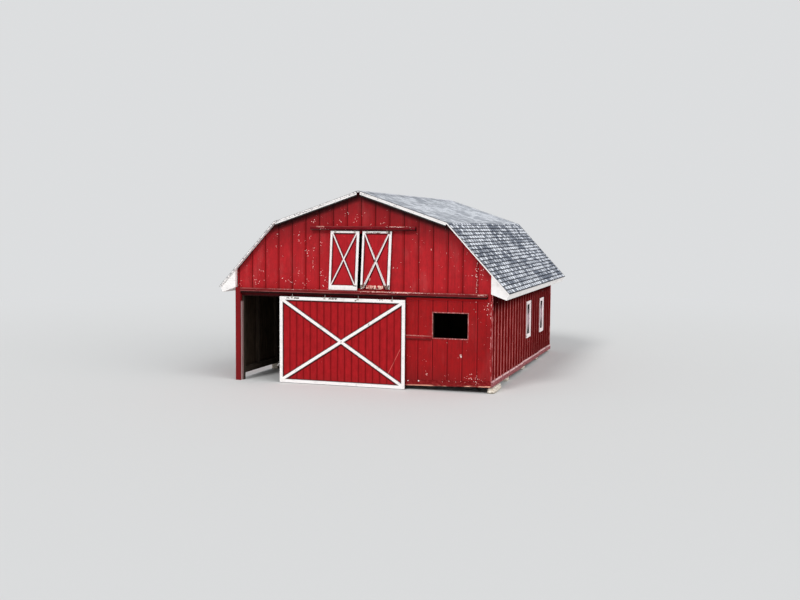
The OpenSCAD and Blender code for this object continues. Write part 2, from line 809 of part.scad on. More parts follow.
// A board on the wall with a hood out over the track
module hood(x0, x1, board_z, top_z, thick, face_y, face_h) {
  span([x0, front_y - thick, board_z], [x1, front_y, top_z]);
  span([x0, face_y, top_z - board_t], [x1, front_y, top_z]);
  span([x0, face_y - board_t, top_z - face_h], [x1, face_y, top_z]);
}

module track_hood() {
  color(red) hood(track_l, track_r, track_board_z, hood_z, track_board_t, hood_y, hood_face);
}

module loft_hood() {
  color(red) hood(loft_track_x - loft_track_l / 2, loft_track_x + loft_track_l / 2, loft_board_z,
                  loft_hood_z, loft_board_t, loft_hood_y, loft_board_h);
}

// A hanger: four rollers on two axles, a bolt through the slot and a strap over the door's
// head and down its face
module hanger(x, y, top, rail_z, depth) {
  axle_z = rail_z + track_t + roll_gap + roller_d / 2;
  wheel_y = slot_w / 2 + roller_play;
  body = [block_span, slot_w - play, block_h];
  translate([x, y, 0]) {
    for (sx = [-1, 1]) translate([sx * axle_gap / 2, 0, axle_z]) {
      for (side = [0, 1]) mirror([0, side, 0])
        translate([0, wheel_y + roller_w, 0]) rotate([90, 0, 0]) cylinder(h = roller_w, d = roller_d);
      rotate([90, 0, 0]) cylinder(h = 2 * wheel_y + past, d = axle_d, center = true);
    }
    translate([-body[0] / 2, -body[1] / 2, axle_z - body[2] / 2]) cube(body);
    translate([0, 0, top]) cylinder(h = axle_z - top, d = bolt_d);
    translate([-strap_w / 2, -depth / 2 - strap_t, top]) cube([strap_w, depth + strap_t, strap_t]);
    translate([-strap_w / 2, -depth / 2 - strap_t, top - leg_l]) cube([strap_w, strap_t, leg_l + past]);
  }
}

// Sliding door, drawn about its left edge and its foot

function box_points(x0, z0, x1, z1) = [[x0, z0], [x1, z0], [x1, z1], [x0, z1]];
function cross2(u, v) = u[0] * v[1] - u[1] * v[0];
// Where the line through a and b meets the line through c and d
function meet(a, b, c, d) = a + (b - a) * cross2(c - a, d - c) / cross2(b - a, d - c);
// Offset to the left of the way from a to b
function aside(a, b, w) = [a[1] - b[1], b[0] - a[0]] / norm(b - a) * w;
// Opening between the side from p to q and two braces that meet at o
function opening(p, q, o, half) =
  let (u = aside(q, o, half), v = aside(o, p, half))
    [meet(p, q, o + v, p + v), meet(p, q, q + u, o + u), meet(q + u, o + u, o + v, p + v)];

// Face boards: a frame with two crossed braces, as an outline with four openings
module crossed_face(outer, inner, brace) {
  o = meet(inner[0], inner[2], inner[1], inner[3]);
  difference() {
    polygon(outer);
    for (i = [0 : 3]) polygon(opening(inner[i], inner[(i + 1) % 4], o, brace / 2));
  }
}

module door_panel() {
  grooves = floor(door_w / groove_pitch);
  first = (door_w - (grooves - 1) * groove_pitch) / 2;
  face = panel_t - groove_d;
  back = door_back - rail_t;
  color(red) translate([door_x, back, door_z]) linear_extrude(door_h) difference() {
    translate([0, -panel_t]) square([door_w, panel_t]);
    for (i = [0 : grooves - 1])
      translate([first + i * groove_pitch - groove_w / 2, -panel_t - past])
        square([groove_w, groove_d + past]);
  }
}

// Frame on the back of the door with a rail across its middle
module door_rails() {
  color(red) translate([door_x, door_back, door_z]) rotate([90, 0, 0]) linear_extrude(rail_t) {
    difference() {
      square([door_w, door_h]);
      translate([rail_w, rail_w]) square([door_w - 2 * rail_w, door_h - 2 * rail_w]);
    }
    translate([rail_w, (door_h - rail_w) / 2]) square([door_w - 2 * rail_w, rail_w]);
  }
}

module door_frame() {
  color(white) translate([door_x, door_back - rail_t - panel_t, door_z])
    rotate([90, 0, 0]) linear_extrude(board_t)
      crossed_face(box_points(0, 0, door_w, door_h),
                   box_points(frame_w, frame_w, door_w - frame_w, door_h - frame_w), brace_w);
}

module door_hangers() {
  color(steel) for (i = [0 : 3])
    hanger(door_x + hanger_in + i * hanger_span, door_mid_y, door_top, track_z, door_t);
}

// A bent bar on the left edge of the door
module door_pull() {
  color(white) translate([door_x, door_mid_y, door_z + pull_z - pull_r]) rotate([90, 0, 0])
    rotate_extrude(angle = 90, start = 90) translate([pull_r, 0]) circle(d = pull_d);
}

// Loft leaves: every outline leans, because the leaves hang racked

// Point at a distance across and up a leaf whose head is plumb over the gap
function racked(p) = [p[0] - leaf_rack * (1 - p[1] / leaf_h), p[1]];
function lean(points) = [for (p = points) racked(p)];

// Face boards of a leaf: the right one has lost its bottom rail, so it is open at the foot
module leaf_face(foot) {
  z0 = foot == 0 ? leaf_lost : 0;
  crossed_face(lean(box_points(0, z0, leaf_w, leaf_h)),
               lean(box_points(leaf_frame_w, max(foot, leaf_lost - past), leaf_w - leaf_stile_w,
                               leaf_h - leaf_frame_w)), leaf_brace_w);
}

leaf_lefts = [leaf_mid - leaf_gap / 2 - leaf_w, leaf_mid + leaf_gap / 2];

module leaf_panels() {
  color(red) for (i = [0, 1]) translate([leaf_lefts[i], door_back, leaf_z]) rotate([90, 0, 0])
    linear_extrude(leaf_panel_t) polygon(lean(box_points(0, i * leaf_lost, leaf_w, leaf_h)));
}

module leaf_frames() {
  color(white) for (i = [0, 1])
    translate([leaf_lefts[i], door_back - leaf_panel_t, leaf_z]) rotate([90, 0, 0])
      linear_extrude(board_t) leaf_face((1 - i) * leaf_foot_w);
}

module leaf_hangers() {
  color(steel) for (x = leaf_lefts, at = [leaf_hanger_in, leaf_w - leaf_hanger_in])
    hanger(x + at, leaf_mid_y, leaf_top, loft_track_z, leaf_t);
}

// Windows

// Trim and sash of a window in the right wall, with a bar across its middle
module window_frame(i) {
  y = window_y(i);
  z = window_z(i);
  out_w = win_w + 2 * win_trim;
  difference() {
    translate([wall_x, y - out_w / 2, z - win_trim]) cube([win_trim_t, out_w, win_h + 2 * win_trim]);
    translate([wall_x - past, y - win_w / 2, z]) cube([win_trim_t + 2 * past, win_w, win_h]);
  }
  difference() {
    translate([wall_x - sash_t, y - win_w / 2, z]) cube([sash_t, win_w, win_h]);
    for (half = [0, 1])
      translate([wall_x - sash_t - past, y - win_w / 2 + sash_w,
                 z + sash_w + half * (win_h - sash_w) / 2])
        cube([sash_t + 2 * past, win_w - 2 * sash_w, (win_h - 3 * sash_w) / 2]);
  }
}

module window_frames() { color(white) both_sides() for (i = window_bays) window_frame(i); }

module window_glass() {
  mid = wall_x - sash_t / 2;
  color(glass) both_sides() for (i = window_bays, half = [0, 1])
    translate([mid - pane_t / 2, window_y(i) - win_w / 2 + sash_w,
               window_z(i) + sash_w + half * (win_h - sash_w) / 2])
      cube([pane_t, win_w - 2 * sash_w, (win_h - 3 * sash_w) / 2]);
}

module front_window_edging() {
  e = edging_w;
  color(timber) along_y(front_y - edging_t, front_y) difference() {
    translate([hole_x - e, hole_z - e]) square([hole_w + 2 * e, hole_h + 2 * e]);
    translate([hole_x, hole_z]) square([hole_w, hole_h]);
  }
}

module ledger_board() {
  x1 = hole_x - edging_w - play;
  color(red) span([x1 - ledger_l, front_y - ledger_t, ledger_z], [x1, front_y, ledger_z + ledger_w]);
}

footing_blocks();
sill_beams();
wall_posts();
end_beams();
top_plates();
loft_joists();
loft_floor();
purlins();
rafters_upper();
rafters_lower();
roof_upper_left();
roof_upper_right();
roof_lower_left();
roof_lower_right();
ridge_cap();
rake_boards();
fascia_boards();
soffit_boards();
eave_closures();
siding_left();
siding_right();
siding_back();
siding_front();
siding_gable();
battens_sides();
battens_ends();
corner_boards();
skirt_boards();
track_hood();
door_track();
loft_hood();
loft_track();
leaf_panels();
leaf_frames();
leaf_hangers();
window_frames();
window_glass();
front_window_edging();
ledger_board();
door_panel();
door_rails();
door_frame();
door_hangers();
door_pull();
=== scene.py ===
# %% [markdown]
# # A red gambrel barn
# The imported model already holds every board, post and track at its real place. This script
# gives it paint, weather and shingles. It starts by loading that model as a fixed frame. The walls'
# faces and the lines of the roof are measured from the frame, so the finishes follow it.

# %% Load the frame
import functools
import math
import random

import bmesh
import bpy
from mathutils import Matrix, Vector, noise


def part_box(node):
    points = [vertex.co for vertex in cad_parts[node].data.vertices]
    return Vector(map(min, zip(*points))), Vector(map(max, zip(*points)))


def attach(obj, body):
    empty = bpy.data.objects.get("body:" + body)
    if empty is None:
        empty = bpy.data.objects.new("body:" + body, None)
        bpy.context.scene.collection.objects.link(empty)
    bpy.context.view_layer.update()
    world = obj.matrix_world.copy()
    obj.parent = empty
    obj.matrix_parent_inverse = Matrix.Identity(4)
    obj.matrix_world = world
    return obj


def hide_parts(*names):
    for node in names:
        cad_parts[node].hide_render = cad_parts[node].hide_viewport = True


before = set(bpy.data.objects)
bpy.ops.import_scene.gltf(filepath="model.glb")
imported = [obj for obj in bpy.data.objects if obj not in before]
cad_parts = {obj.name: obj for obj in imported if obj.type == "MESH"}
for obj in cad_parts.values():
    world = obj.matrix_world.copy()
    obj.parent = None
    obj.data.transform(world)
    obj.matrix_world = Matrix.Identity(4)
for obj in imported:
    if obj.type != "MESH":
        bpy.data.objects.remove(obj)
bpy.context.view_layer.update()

bpy.context.scene.view_settings.view_transform = "Standard"
EAVE_TOP = 2.652  # the roof's surface at its outer edge
wall_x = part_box("siding_right")[1].x
front_y, back_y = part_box("siding_front")[0].y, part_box("siding_back")[1].y
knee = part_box("roof_upper_right")[1].x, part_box("roof_lower_right")[1].z
ridge_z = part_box("roof_upper_right")[1].z
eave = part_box("roof_lower_right")[1].x, EAVE_TOP
upper_lean = math.atan2(ridge_z - knee[1], knee[0])
lower_lean = math.atan2(knee[1] - eave[1], eave[0] - knee[0])
print("barn:", round(2 * wall_x, 3), "m wide,", round(back_y - front_y, 3), "m long")
print("roof slopes lean by degrees:", *(round(math.degrees(lean), 1) for lean in (upper_lean, lower_lean)))

# %% [markdown]
# ## Short calls for node trees
# The sky, the paint and the repeated shapes below are all trees of nodes. A tree can be drawn in
# a script node by node and link by link, but then a plain sum takes three lines and its sense is
# lost. Here a number that nodes work out is a Value, and a sum written with Values draws its Math
# nodes, so a mask reads as a formula.

# %% Values
class Value:
    """A number that nodes work out. Sums written with it draw Math nodes."""

    def __init__(self, tree, socket):
        self.tree, self.socket = tree, socket

    def apply(self, how, *others):
        return self.tree.math(how, self, *others)

    def ramp(self, low, high, to_low=0.0, to_high=1.0, how="SMOOTHSTEP"):
        """A smooth step between two values."""
        values = self, low, high, to_low, to_high
        node = self.tree.node("ShaderNodeMapRange", values, interpolation_type=how)
        return Value(self.tree, node.outputs[0])

    def vary(self, to_low=0.0, to_high=1.0):
        """Spreads noise, most of which lies between 0.3 and 0.7, over two values."""
        return self.ramp(0.3, 0.7, to_low, to_high)

    def __rsub__(self, other):
        return self.tree.math("SUBTRACT", other, self)

    def __floordiv__(self, other):
        return (self / other).apply("FLOOR")

    line = functools.partialmethod(ramp, how="LINEAR")
    __add__ = __radd__ = functools.partialmethod(apply, "ADD")
    __mul__ = functools.partialmethod(apply, "MULTIPLY")
    __sub__ = functools.partialmethod(apply, "SUBTRACT")
    __truediv__ = functools.partialmethod(apply, "DIVIDE")
    __mod__ = functools.partialmethod(apply, "FLOORED_MODULO")
    __lt__ = functools.partialmethod(apply, "LESS_THAN")
    __gt__ = functools.partialmethod(apply, "GREATER_THAN")
    __abs__ = functools.partialmethod(apply, "ABSOLUTE")
    __neg__ = functools.partialmethod(apply, "MULTIPLY", -1.0)


def least(*values):
    return functools.reduce(lambda a, b: a.apply("MINIMUM", b), values)


def most(*values):
    return functools.reduce(lambda a, b: a.apply("MAXIMUM", b), values)


def between(value, low, high):
    """1 between two values, 0 elsewhere."""
    return (value > low) * (value < high)


print("sums can be drawn")


# %% Trees
class Tree:
    """The calls that draw any tree of nodes."""

    def __init__(self, node_tree):
        self.nodes, self.links = node_tree.nodes, node_tree.links

    def put(self, socket, value):
        """Links a socket to what nodes work out, or sets it to a plain value; None leaves it."""
        if isinstance(value, Value):
            value = value.socket
        if isinstance(value, bpy.types.NodeSocket):
            self.links.new(value, socket)
        elif value is not None:
            socket.default_value = value

    def node(self, kind, values=(), **settings):
        """A node with its settings, and with values for its inputs by number or by name."""
        node = self.nodes.new(kind)
        for key, value in settings.items():
            setattr(node, key, value)
        for key, value in values.items() if isinstance(values, dict) else enumerate(values):
            self.put(node.inputs[key], value)
        return node

    def math(self, how, *values):
        return Value(self, self.node("ShaderNodeMath", values, operation=how).outputs[0])

    def seen(self):
        """1 for the rays that show a background itself, 0 for those that light the barn."""
        rays = self.node("ShaderNodeLightPath").outputs
        kinds = "Is Camera Ray", "Is Glossy Ray", "Is Transmission Ray"
        return most(*(Value(self, rays[kind]) for kind in kinds))


print("trees can be drawn")

# %% [markdown]
# ## Camera and light
# The barn was seen from a little above eave height, in front of its right corner. The camera's
# place and turn were solved from the corners of the walls and the roof; set by eye, every edge
# would lie a little off. The light is plain and soft, so that a colour renders about as it is
# written: a key sun from the front left, a wide sun from the front right that fills its shade,
# and a pale sky. The grey behind the barn shows only to rays that see it, so it adds no light.

# %% Camera
CAMERA_PLACE, YAW, DIP, ROLL = (9.1392, -30.132, 4.402), -0.30597, 0.075011, 0.00769
LENS, SENSOR, SIGHT = 44.42, 36, 400  # two in mm, then how far the camera sees in m


def turned(yaw, dip, roll):
    """Rotation of a camera that looks along +Y, then turns, dips and rolls."""
    ahead = Vector((math.sin(yaw) * math.cos(dip), math.cos(yaw) * math.cos(dip), -math.sin(dip)))
    right = Vector((math.cos(yaw), -math.sin(yaw), 0))
    up = right.cross(ahead)
    across = right * math.cos(roll) + up * math.sin(roll)
    over = -right * math.sin(roll) + up * math.cos(roll)
    return Matrix((across, over, -ahead)).transposed().to_euler()


def placed(name, data):
    """A new object in the scene, from a mesh, a lamp or a camera."""
    thing = bpy.data.objects.new(name, data)
    bpy.context.scene.collection.objects.link(thing)
    return thing


camera = placed("camera", bpy.data.cameras.new("camera"))
camera.location = CAMERA_PLACE
camera.rotation_euler = turned(YAW, DIP, ROLL)
camera.data.sensor_fit = "HORIZONTAL"
camera.data.sensor_width, camera.data.lens, camera.data.clip_end = SENSOR, LENS, SIGHT
bpy.context.scene.camera = camera
print("camera is", round(camera.location.length, 1), "m from the middle of the plan")

# %% Suns and sky
SKY_STRENGTH, SKY_COLOUR, BACKDROP = 0.45, (0.93, 0.96, 1.0, 1), (0.72, 0.73, 0.74, 1)
# for each sun the way it shines, its strength and its width in degrees
SUNS = {"key": ((0.2, 0.75, -0.62), 1.42, 18), "fill": ((-0.8, 0.35, -0.6), 1.45, 60)}

for name, (towards, strength, spread) in SUNS.items():
    sun = placed(name, bpy.data.lights.new(name, "SUN"))
    sun.data.energy, sun.data.angle = strength, math.radians(spread)
    sun.rotation_euler = Vector(towards).to_track_quat("-Z", "Y").to_euler()

world = bpy.data.worlds.new("sky")
world.use_nodes = True
bpy.context.scene.world = world
air = Tree(world.node_tree)
sky = air.nodes["Background"]
air.put(sky.inputs["Color"], SKY_COLOUR)
air.put(sky.inputs["Strength"], SKY_STRENGTH)
plain = air.node("ShaderNodeBackground", {"Color": BACKDROP, "Strength": 1.0})
choice = air.node("ShaderNodeMixShader", (air.seen(), sky.outputs[0], plain.outputs[0]))
air.put(air.nodes["World Output"].inputs["Surface"], choice.outputs[0])
print("sky strength", SKY_STRENGTH)

# %% [markdown]
# ## A finish
# Paint on an old barn is a colour, noise that varies it, masks that say where it is worn or
# dirty, and a bump for the grain. Pictures could carry all that, but a painted picture blurs when
# seen near, and this one has to fit every board. So each finish is a tree that reads object
# coordinates, which here are metres from the middle of the barn: a mask can name a place on a
# wall. A finish starts with one colour and covers it step by step, as layers of weather do.

# %% Finish class
def linear(colour):
    """An sRGB colour, from 0 to 255, as the linear one that a shader takes; a socket stays as it is."""
    if isinstance(colour, bpy.types.NodeSocket):
        return colour
    parts = [c / 255 for c in colour]
    return tuple(c / 12.92 if c <= 0.04045 else ((c + 0.055) / 1.055) ** 2.4 for c in parts) + (1.0,)


class Finish(Tree):
    """One material, with short calls that draw its layers."""

    def __init__(self, name, roughness=0.65, metallic=0.0, shine=0.15):
        self.material = bpy.data.materials.new(name)
        self.material.use_nodes = True
        super().__init__(self.material.node_tree)
        self.shader = self.nodes["Principled BSDF"]
        looks = {"Roughness": roughness, "Metallic": metallic, "Specular IOR Level": shine}
        for label, number in looks.items():
            self.put(self.shader.inputs[label], number)
        self.place = self.node("ShaderNodeTexCoord").outputs["Object"]
        axes = self.node("ShaderNodeSeparateXYZ", (self.place,))
        self.x, self.y, self.z = (Value(self, axis) for axis in axes.outputs)
        self.colour = None

    def noise(self, stretch, detail=3.0, rough=0.55):
        """Noise with so many features per metre, the same each way or one number for each axis."""
        stretch = stretch if isinstance(stretch, tuple) else (stretch,) * 3
        mapping = self.node("ShaderNodeMapping", {"Vector": self.place, "Scale": stretch})
        values = {"Vector": mapping.outputs[0], "Scale": 1.0, "Detail": detail, "Roughness": rough}
        return Value(self, self.node("ShaderNodeTexNoise", values).outputs["Fac"])

    def attribute(self, name):
        return Value(self, self.node("ShaderNodeAttribute", attribute_name=name).outputs["Fac"])

    def blend(self, amount, first, second):
        """A colour between two: the first at 0, the second at 1."""
        values = {0: amount, 6: linear(first), 7: linear(second)}
        return self.node("ShaderNodeMix", values, data_type="RGBA").outputs[2]

    def lit(self, colour, value):
        """A colour made darker or lighter by a value around 1."""
        return self.node("ShaderNodeHueSaturation", {"Value": value, "Color": linear(colour)}).outputs[0]

    def cover(self, amount, colour):
        """Lays a colour over the ones before it, as thickly as the amount says."""
        self.colour = self.blend(amount, self.colour, colour)

    def done(self, height=None, distance=0.001, strength=0.8, roughness=None):
        """Joins colour, bump and roughness to the shader and returns the material."""
        self.put(self.shader.inputs["Base Color"], self.colour)
        self.put(self.shader.inputs["Roughness"], roughness)
        if height is not None:
            values = {"Distance": distance, "Strength": strength, "Height": height}
            self.put(self.shader.inputs["Normal"], self.node("ShaderNodeBump", values).outputs[0])
        return self.material


def wear(material, *nodes):
    """Gives CAD nodes a material in every slot."""
    for node in nodes:
        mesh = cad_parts[node].data
        if not mesh.materials:
            mesh.materials.append(material)
        for i in range(len(mesh.materials)):
            mesh.materials[i] = material


print("finishes can be drawn")

# %% [markdown]
# ## Red paint on boards
# Old barn paint fades unevenly. It goes chalky where water runs, and soil splashes its foot. Shade
# is painted in where it falls: under the rakes, and beside each batten. That shade could be
# painted on by hand, but a shader can find these places by measuring, from the roof lines and
# from the batten spacing, and stays right if a wall grows. The inner faces were never painted,
# so there the same material turns to dark boards.

# %% Masks
BATTEN_PITCH, BATTEN_X, HALF_BATTEN, HALF_BOARD = 0.4064, 0.024, 0.019, 0.008
GRAIN = {"x": (2.2, 55, 55), "y": (55, 2.2, 55), "z": (55, 55, 2.2)}


def in_boxes(finish, boxes):
    """How strongly a point lies in any box, given as x, z, half width, half height and strength."""
    parts = []
    for x, z, half_x, half_z, strength in boxes:
        share = most(abs(finish.x - x) * (1 / half_x), abs(finish.z - z) * (1 / half_z))
        parts.append(share.ramp(0.55, 1.15, strength, 0.0))
    return most(*parts)


def under_roof(finish):
    """Distances of a point below the upper and the lower roof line of its side."""
    return [(z - finish.z) * math.cos(lean) - (abs(finish.x) - x) * math.sin(lean)
            for x, z, lean in ((0, ridge_z, upper_lean), (*knee, lower_lean))]


def batten_shade(value, first):
    """Painted shadow on both sides of each batten, broader on the side away from the light."""
    off = (((value - first) / BATTEN_PITCH + 0.5) % 1.0 - 0.5) * BATTEN_PITCH
    right = off.ramp(HALF_BATTEN, 0.058, 1.0, 0.0) * (off > 0.0)
    return right + (-off).ramp(HALF_BATTEN, 0.036, 0.35, 0.0) * (off < 0.0)


def bare_wood(finish, along, dark=(38, 31, 26), pale=(72, 60, 49)):
    """Colour and grain height of unpainted boards whose grain runs along an axis."""
    grain = finish.noise(GRAIN[along], 5.0, 0.62)
    colour = finish.blend(grain.ramp(0.3, 0.72), dark, pale)
    return finish.lit(colour, finish.noise(1.7).ramp(0.25, 0.75, 0.78, 1.15)), grain


print("battens every", BATTEN_PITCH, "m")


# %% Red paint
def red_paint(name, red, chalk=0.2, dirt=0.0, battens=None, roof_shade=0.0, inner=True, rubbed=0.0, shine=0.15,
              extra=None):
    """Faded red paint over boards, with painted shade under the rakes and beside the battens."""
    finish = Finish(name, shine=shine)
    brushed = finish.noise((34, 34, 1.3), 4.0)
    mottle = finish.noise((9, 9, 6), 5.0, 0.6)
    broad = finish.noise((0.8, 0.8, 0.6), 2.0)
    light = brushed.ramp(0.25, 0.75, -0.08, 0.08) + mottle.vary(-0.12, 0.12)
    finish.colour = finish.lit(red, light + broad.vary(0.92, 1.08))
    chalky = finish.noise((3.1, 3.1, 0.9), 4.0, 0.6).ramp(0.5, 0.72, 0.0, chalk)
    finish.cover(chalky, (186, 84, 84))
    streaks = finish.noise((16, 16, 0.5)).ramp(0.56, 0.8, 0.0, 0.35)
    finish.cover(streaks, (84, 12, 14))
    splash = finish.z.ramp(0.2, 0.75, dirt, 0.0) * mottle.vary(0.4, 1.0)
    finish.cover(splash, (92, 28, 28))
    # Painted shadow beside each batten.
    if battens:
        corners = batten_shade(finish.x, BATTEN_X) if battens == "x" else batten_shade(finish.y, 0.0)
        finish.cover(corners, (92, 0, 4))
    # Painted shade under the rakes, as if cast by their overhang.
    if roof_shade:
        upper, lower = under_roof(finish)
        shade = most(upper.ramp(0.12, 0.44, roof_shade, 0.0), upper.ramp(0.1, 1.0, roof_shade * 0.52, 0.0),
                     lower.ramp(0.035, 0.09, roof_shade * 0.9, 0.0), lower.ramp(0.04, 0.3, roof_shade * 0.4, 0.0))
        finish.cover(shade * mottle.ramp(0.2, 0.7, 0.85, 1.0), (30, 5, 6))
    if rubbed:
        worn = finish.noise((24, 24, 7), 4.0, 0.62).ramp(0.62 - rubbed, 0.72 - rubbed)
        finish.cover(worn, (206, 138, 136))
    if extra:
        extra(finish)
    height = brushed * 0.5
    if inner:
        wood, grain = bare_wood(finish, "z")
        within = (abs(finish.x) < wall_x - HALF_BOARD) * (abs(finish.y) < back_y - HALF_BOARD)
        finish.cover(within, wood)
        height += within * grain
    return finish.done(height, 0.0012, 0.8, mottle.vary(0.55, 0.75))


print("red paint can be mixed")

# %% [markdown]
# ## The walls
# Each wall wears that paint in its own state. The gable is bright and dry, and the front is deeper
# and splashed at its foot. The sides get painted shade under the eaves, and only their ribs carry a
# painted highlight. One material for all would be shorter, but these differences are what the eye
# sees first. So each wall has its own colour and amounts, and a small function adds what belongs to
# one place only, such as the rubbed edge of the corner board.

# %% Marks of single walls
HEADER_Z, DOORWAY_END, JAMB_EDGE, JAMB_D, EAVE_Z = 2.46, -0.05, -3.5322, 0.075, 2.5
DAYLIGHT_TOP = 2.22, 2.27  # between these heights the painted daylight on the doorway's pale faces ends


def dark_header(finish):
    """The strip over the doorway lies in the shade of the track."""
    finish.cover((finish.x < DOORWAY_END) * (finish.z < HEADER_Z) * 0.92, (26, 8, 8))


def corner_wear_and_light(finish):
    """The jamb is darker than the right corner; its inner face is pale grey brightened by painted light, up
    to where daylight ends; the right corner's edge is rubbed.
    """
    jamb = finish.x < 0.0
    finish.cover(jamb * 0.4, (70, 8, 16))
    # Painted light: the jamb's inner face is lighter than its own pale grey, below where daylight ends.
    lit_inner_face = (finish.x > JAMB_EDGE) * jamb * (finish.y > front_y - JAMB_D)
    finish.cover(lit_inner_face * finish.z.ramp(*DAYLIGHT_TOP, 1.0, 0.0), (190, 164, 162))
    rub = finish.noise((18, 18, 5), 4.0, 0.65).ramp(0.5, 0.62)
    finish.cover(finish.x.ramp(wall_x - 0.03, wall_x - 0.012) * rub, (214, 140, 138))


def eave_gloom(finish):
    """Deep shade under the eaves, and a duller wall towards the back."""
    dull = finish.y.ramp(front_y, back_y, 0.0, 0.35)
    finish.cover(most(finish.z.ramp(EAVE_Z - 0.5, EAVE_Z - 0.08, 0.0, 0.93), dull), (44, 5, 7))


def rib_light(finish):
    """Painted highlight on the ribs, strong near the front and weaker towards the back."""
    rib_highlight = finish.y.ramp(front_y, back_y, 0.95, 0.35)
    patchy = finish.noise((30, 30, 3.5), 4.0, 0.6).ramp(0.32, 0.6, 0.35, 1.0)
    finish.cover(rib_highlight * patchy, (232, 136, 132))
    eave_gloom(finish)


print("walls from", round(front_y, 3), "to", round(back_y, 3))

# %% Paint on the walls
wear(red_paint("gable_red", (174, 29, 36), 0.25, battens="x", roof_shade=1.0, extra=dark_header), "siding_gable")
wear(red_paint("front_red", (152, 16, 20), 0.12, 0.45, battens="x", extra=dark_header), "siding_front")
wear(red_paint("batten_red", (158, 18, 24), 0.15, 0.4, roof_shade=1.0), "battens_ends")
wear(red_paint("corner_red", (146, 18, 22), 0.15, 0.3, extra=corner_wear_and_light), "corner_boards")
wear(red_paint("side_red", (108, 11, 13), 0.12, 0.3, battens="y", shine=0.0, extra=eave_gloom),
     "siding_left", "siding_right")
wear(red_paint("back_red", (134, 18, 20), 0.25, 0.5, battens="x", roof_shade=0.8), "siding_back")
wear(red_paint("rib_red", (128, 26, 28), 0.3, 0.2, inner=False, shine=0.0, extra=rib_light),
     "battens_sides")
print("walls painted")

# %% [markdown]
# ## Skirt boards
# A skirt board covers the foot of each wall. In front it is dark red with its lower edge bared by
# splashing water, and on the sides it has faded to mauve under a pale top edge, partly rubbed paint
# and partly painted highlight. The boards hang a little out of level, so a mask at a fixed height
# would drift off their edges. Each board's box and fall are read from the frame instead, and the
# mask measures from its own sloping foot.

# %% Skirt boards
def solids_of(node):
    """(lowest corner, highest corner) of each separate solid of a CAD node."""
    solid = bmesh.new()
    solid.from_mesh(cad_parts[node].data)
    bmesh.ops.remove_doubles(solid, verts=solid.verts, dist=1e-5)
    boxes, left = [], set(solid.verts)
    while left:
        group, edge = set(), [left.pop()]
        while edge:
            vert = edge.pop()
            group.add(vert)
            near = {link.other_vert(vert) for link in vert.link_edges} & left
            left -= near
            edge.extend(near)
        places = [v.co.copy() for v in group]
        boxes.append((Vector(map(min, *places)), Vector(map(max, *places))))
    solid.free()
    return sorted(boxes, key=lambda box: tuple(round(c, 4) for c in box[0]))


skirt_solids = solids_of("skirt_boards")
print("skirt boards:", len(skirt_solids))

# %% Skirt paint
SKIRT_W, OVER = 0.152, 0.001


def over_skirt_foot(finish):
    """Height of a point over the sloping foot of its own skirt board."""
    parts = []
    for low, high in skirt_solids:
        fall = high.z - low.z - SKIRT_W
        if high.x - low.x > high.y - low.y:
            foot = finish.x.line(low.x, high.x, low.z, low.z + fall)
            here = finish.y < front_y - OVER if low.y < front_y else finish.y > back_y + OVER
        else:
            foot = finish.y.line(low.y, high.y, low.z + fall, low.z)
            outside = finish.x * math.copysign(1, low.x) > wall_x + OVER / 2
            here = outside * between(finish.y, low.y - OVER, high.y + OVER)
        parts.append(here * (finish.z - foot))
    return sum(parts)


def skirt_paint():
    """Dark red in front with a bared lower edge; mauve on the sides with a pale top edge, partly rubbed and
    partly painted highlight.
    """
    finish = Finish("skirt_red", 0.75, shine=0.02)
    mottle = finish.noise((11, 11, 16), 5.0, 0.62)
    up = over_skirt_foot(finish)
    finish.colour = finish.blend(mottle.ramp(0.35, 0.7), (112, 16, 20), (146, 44, 44))
    bared = up.ramp(0.018, 0.04, 1.0, 0.0) * finish.noise((4, 4, 20), 4.0, 0.6).ramp(0.44, 0.56)
    finish.cover(bared * finish.x.ramp(0.6, 2.6, 0.35, 1.0), (238, 176, 152))
    side = finish.blend(mottle.ramp(0.35, 0.68), (128, 66, 70), (182, 120, 122))
    # The sides' pale top edge: partly rubbed paint, partly painted highlight.
    rubbed = up.ramp(SKIRT_W - 0.05, SKIRT_W - 0.02) * finish.noise(9).ramp(0.36, 0.5, 0.2, 1.0)
    finish.cover(abs(finish.x) > wall_x + OVER / 2, finish.blend(rubbed, side, (246, 206, 206)))
    return finish.done(mottle, 0.002)


wear(skirt_paint(), "skirt_boards")
print("skirt boards are", SKIRT_W, "m wide")

# %% [markdown]
# ## Hoods and ledger
# A hood of two boards keeps rain off each track, and a ledger board runs beside the open window.
# They take the weather: their red is brownish, their top edges are rubbed, and a stretch under the
# loft has split to bare wood. Noise alone would bare them anywhere, so a few boxes, which were set
# after the photo, add to the noise where the real boards have lost their paint.

# %% Hoods and ledger
DOOR_END = 1.36


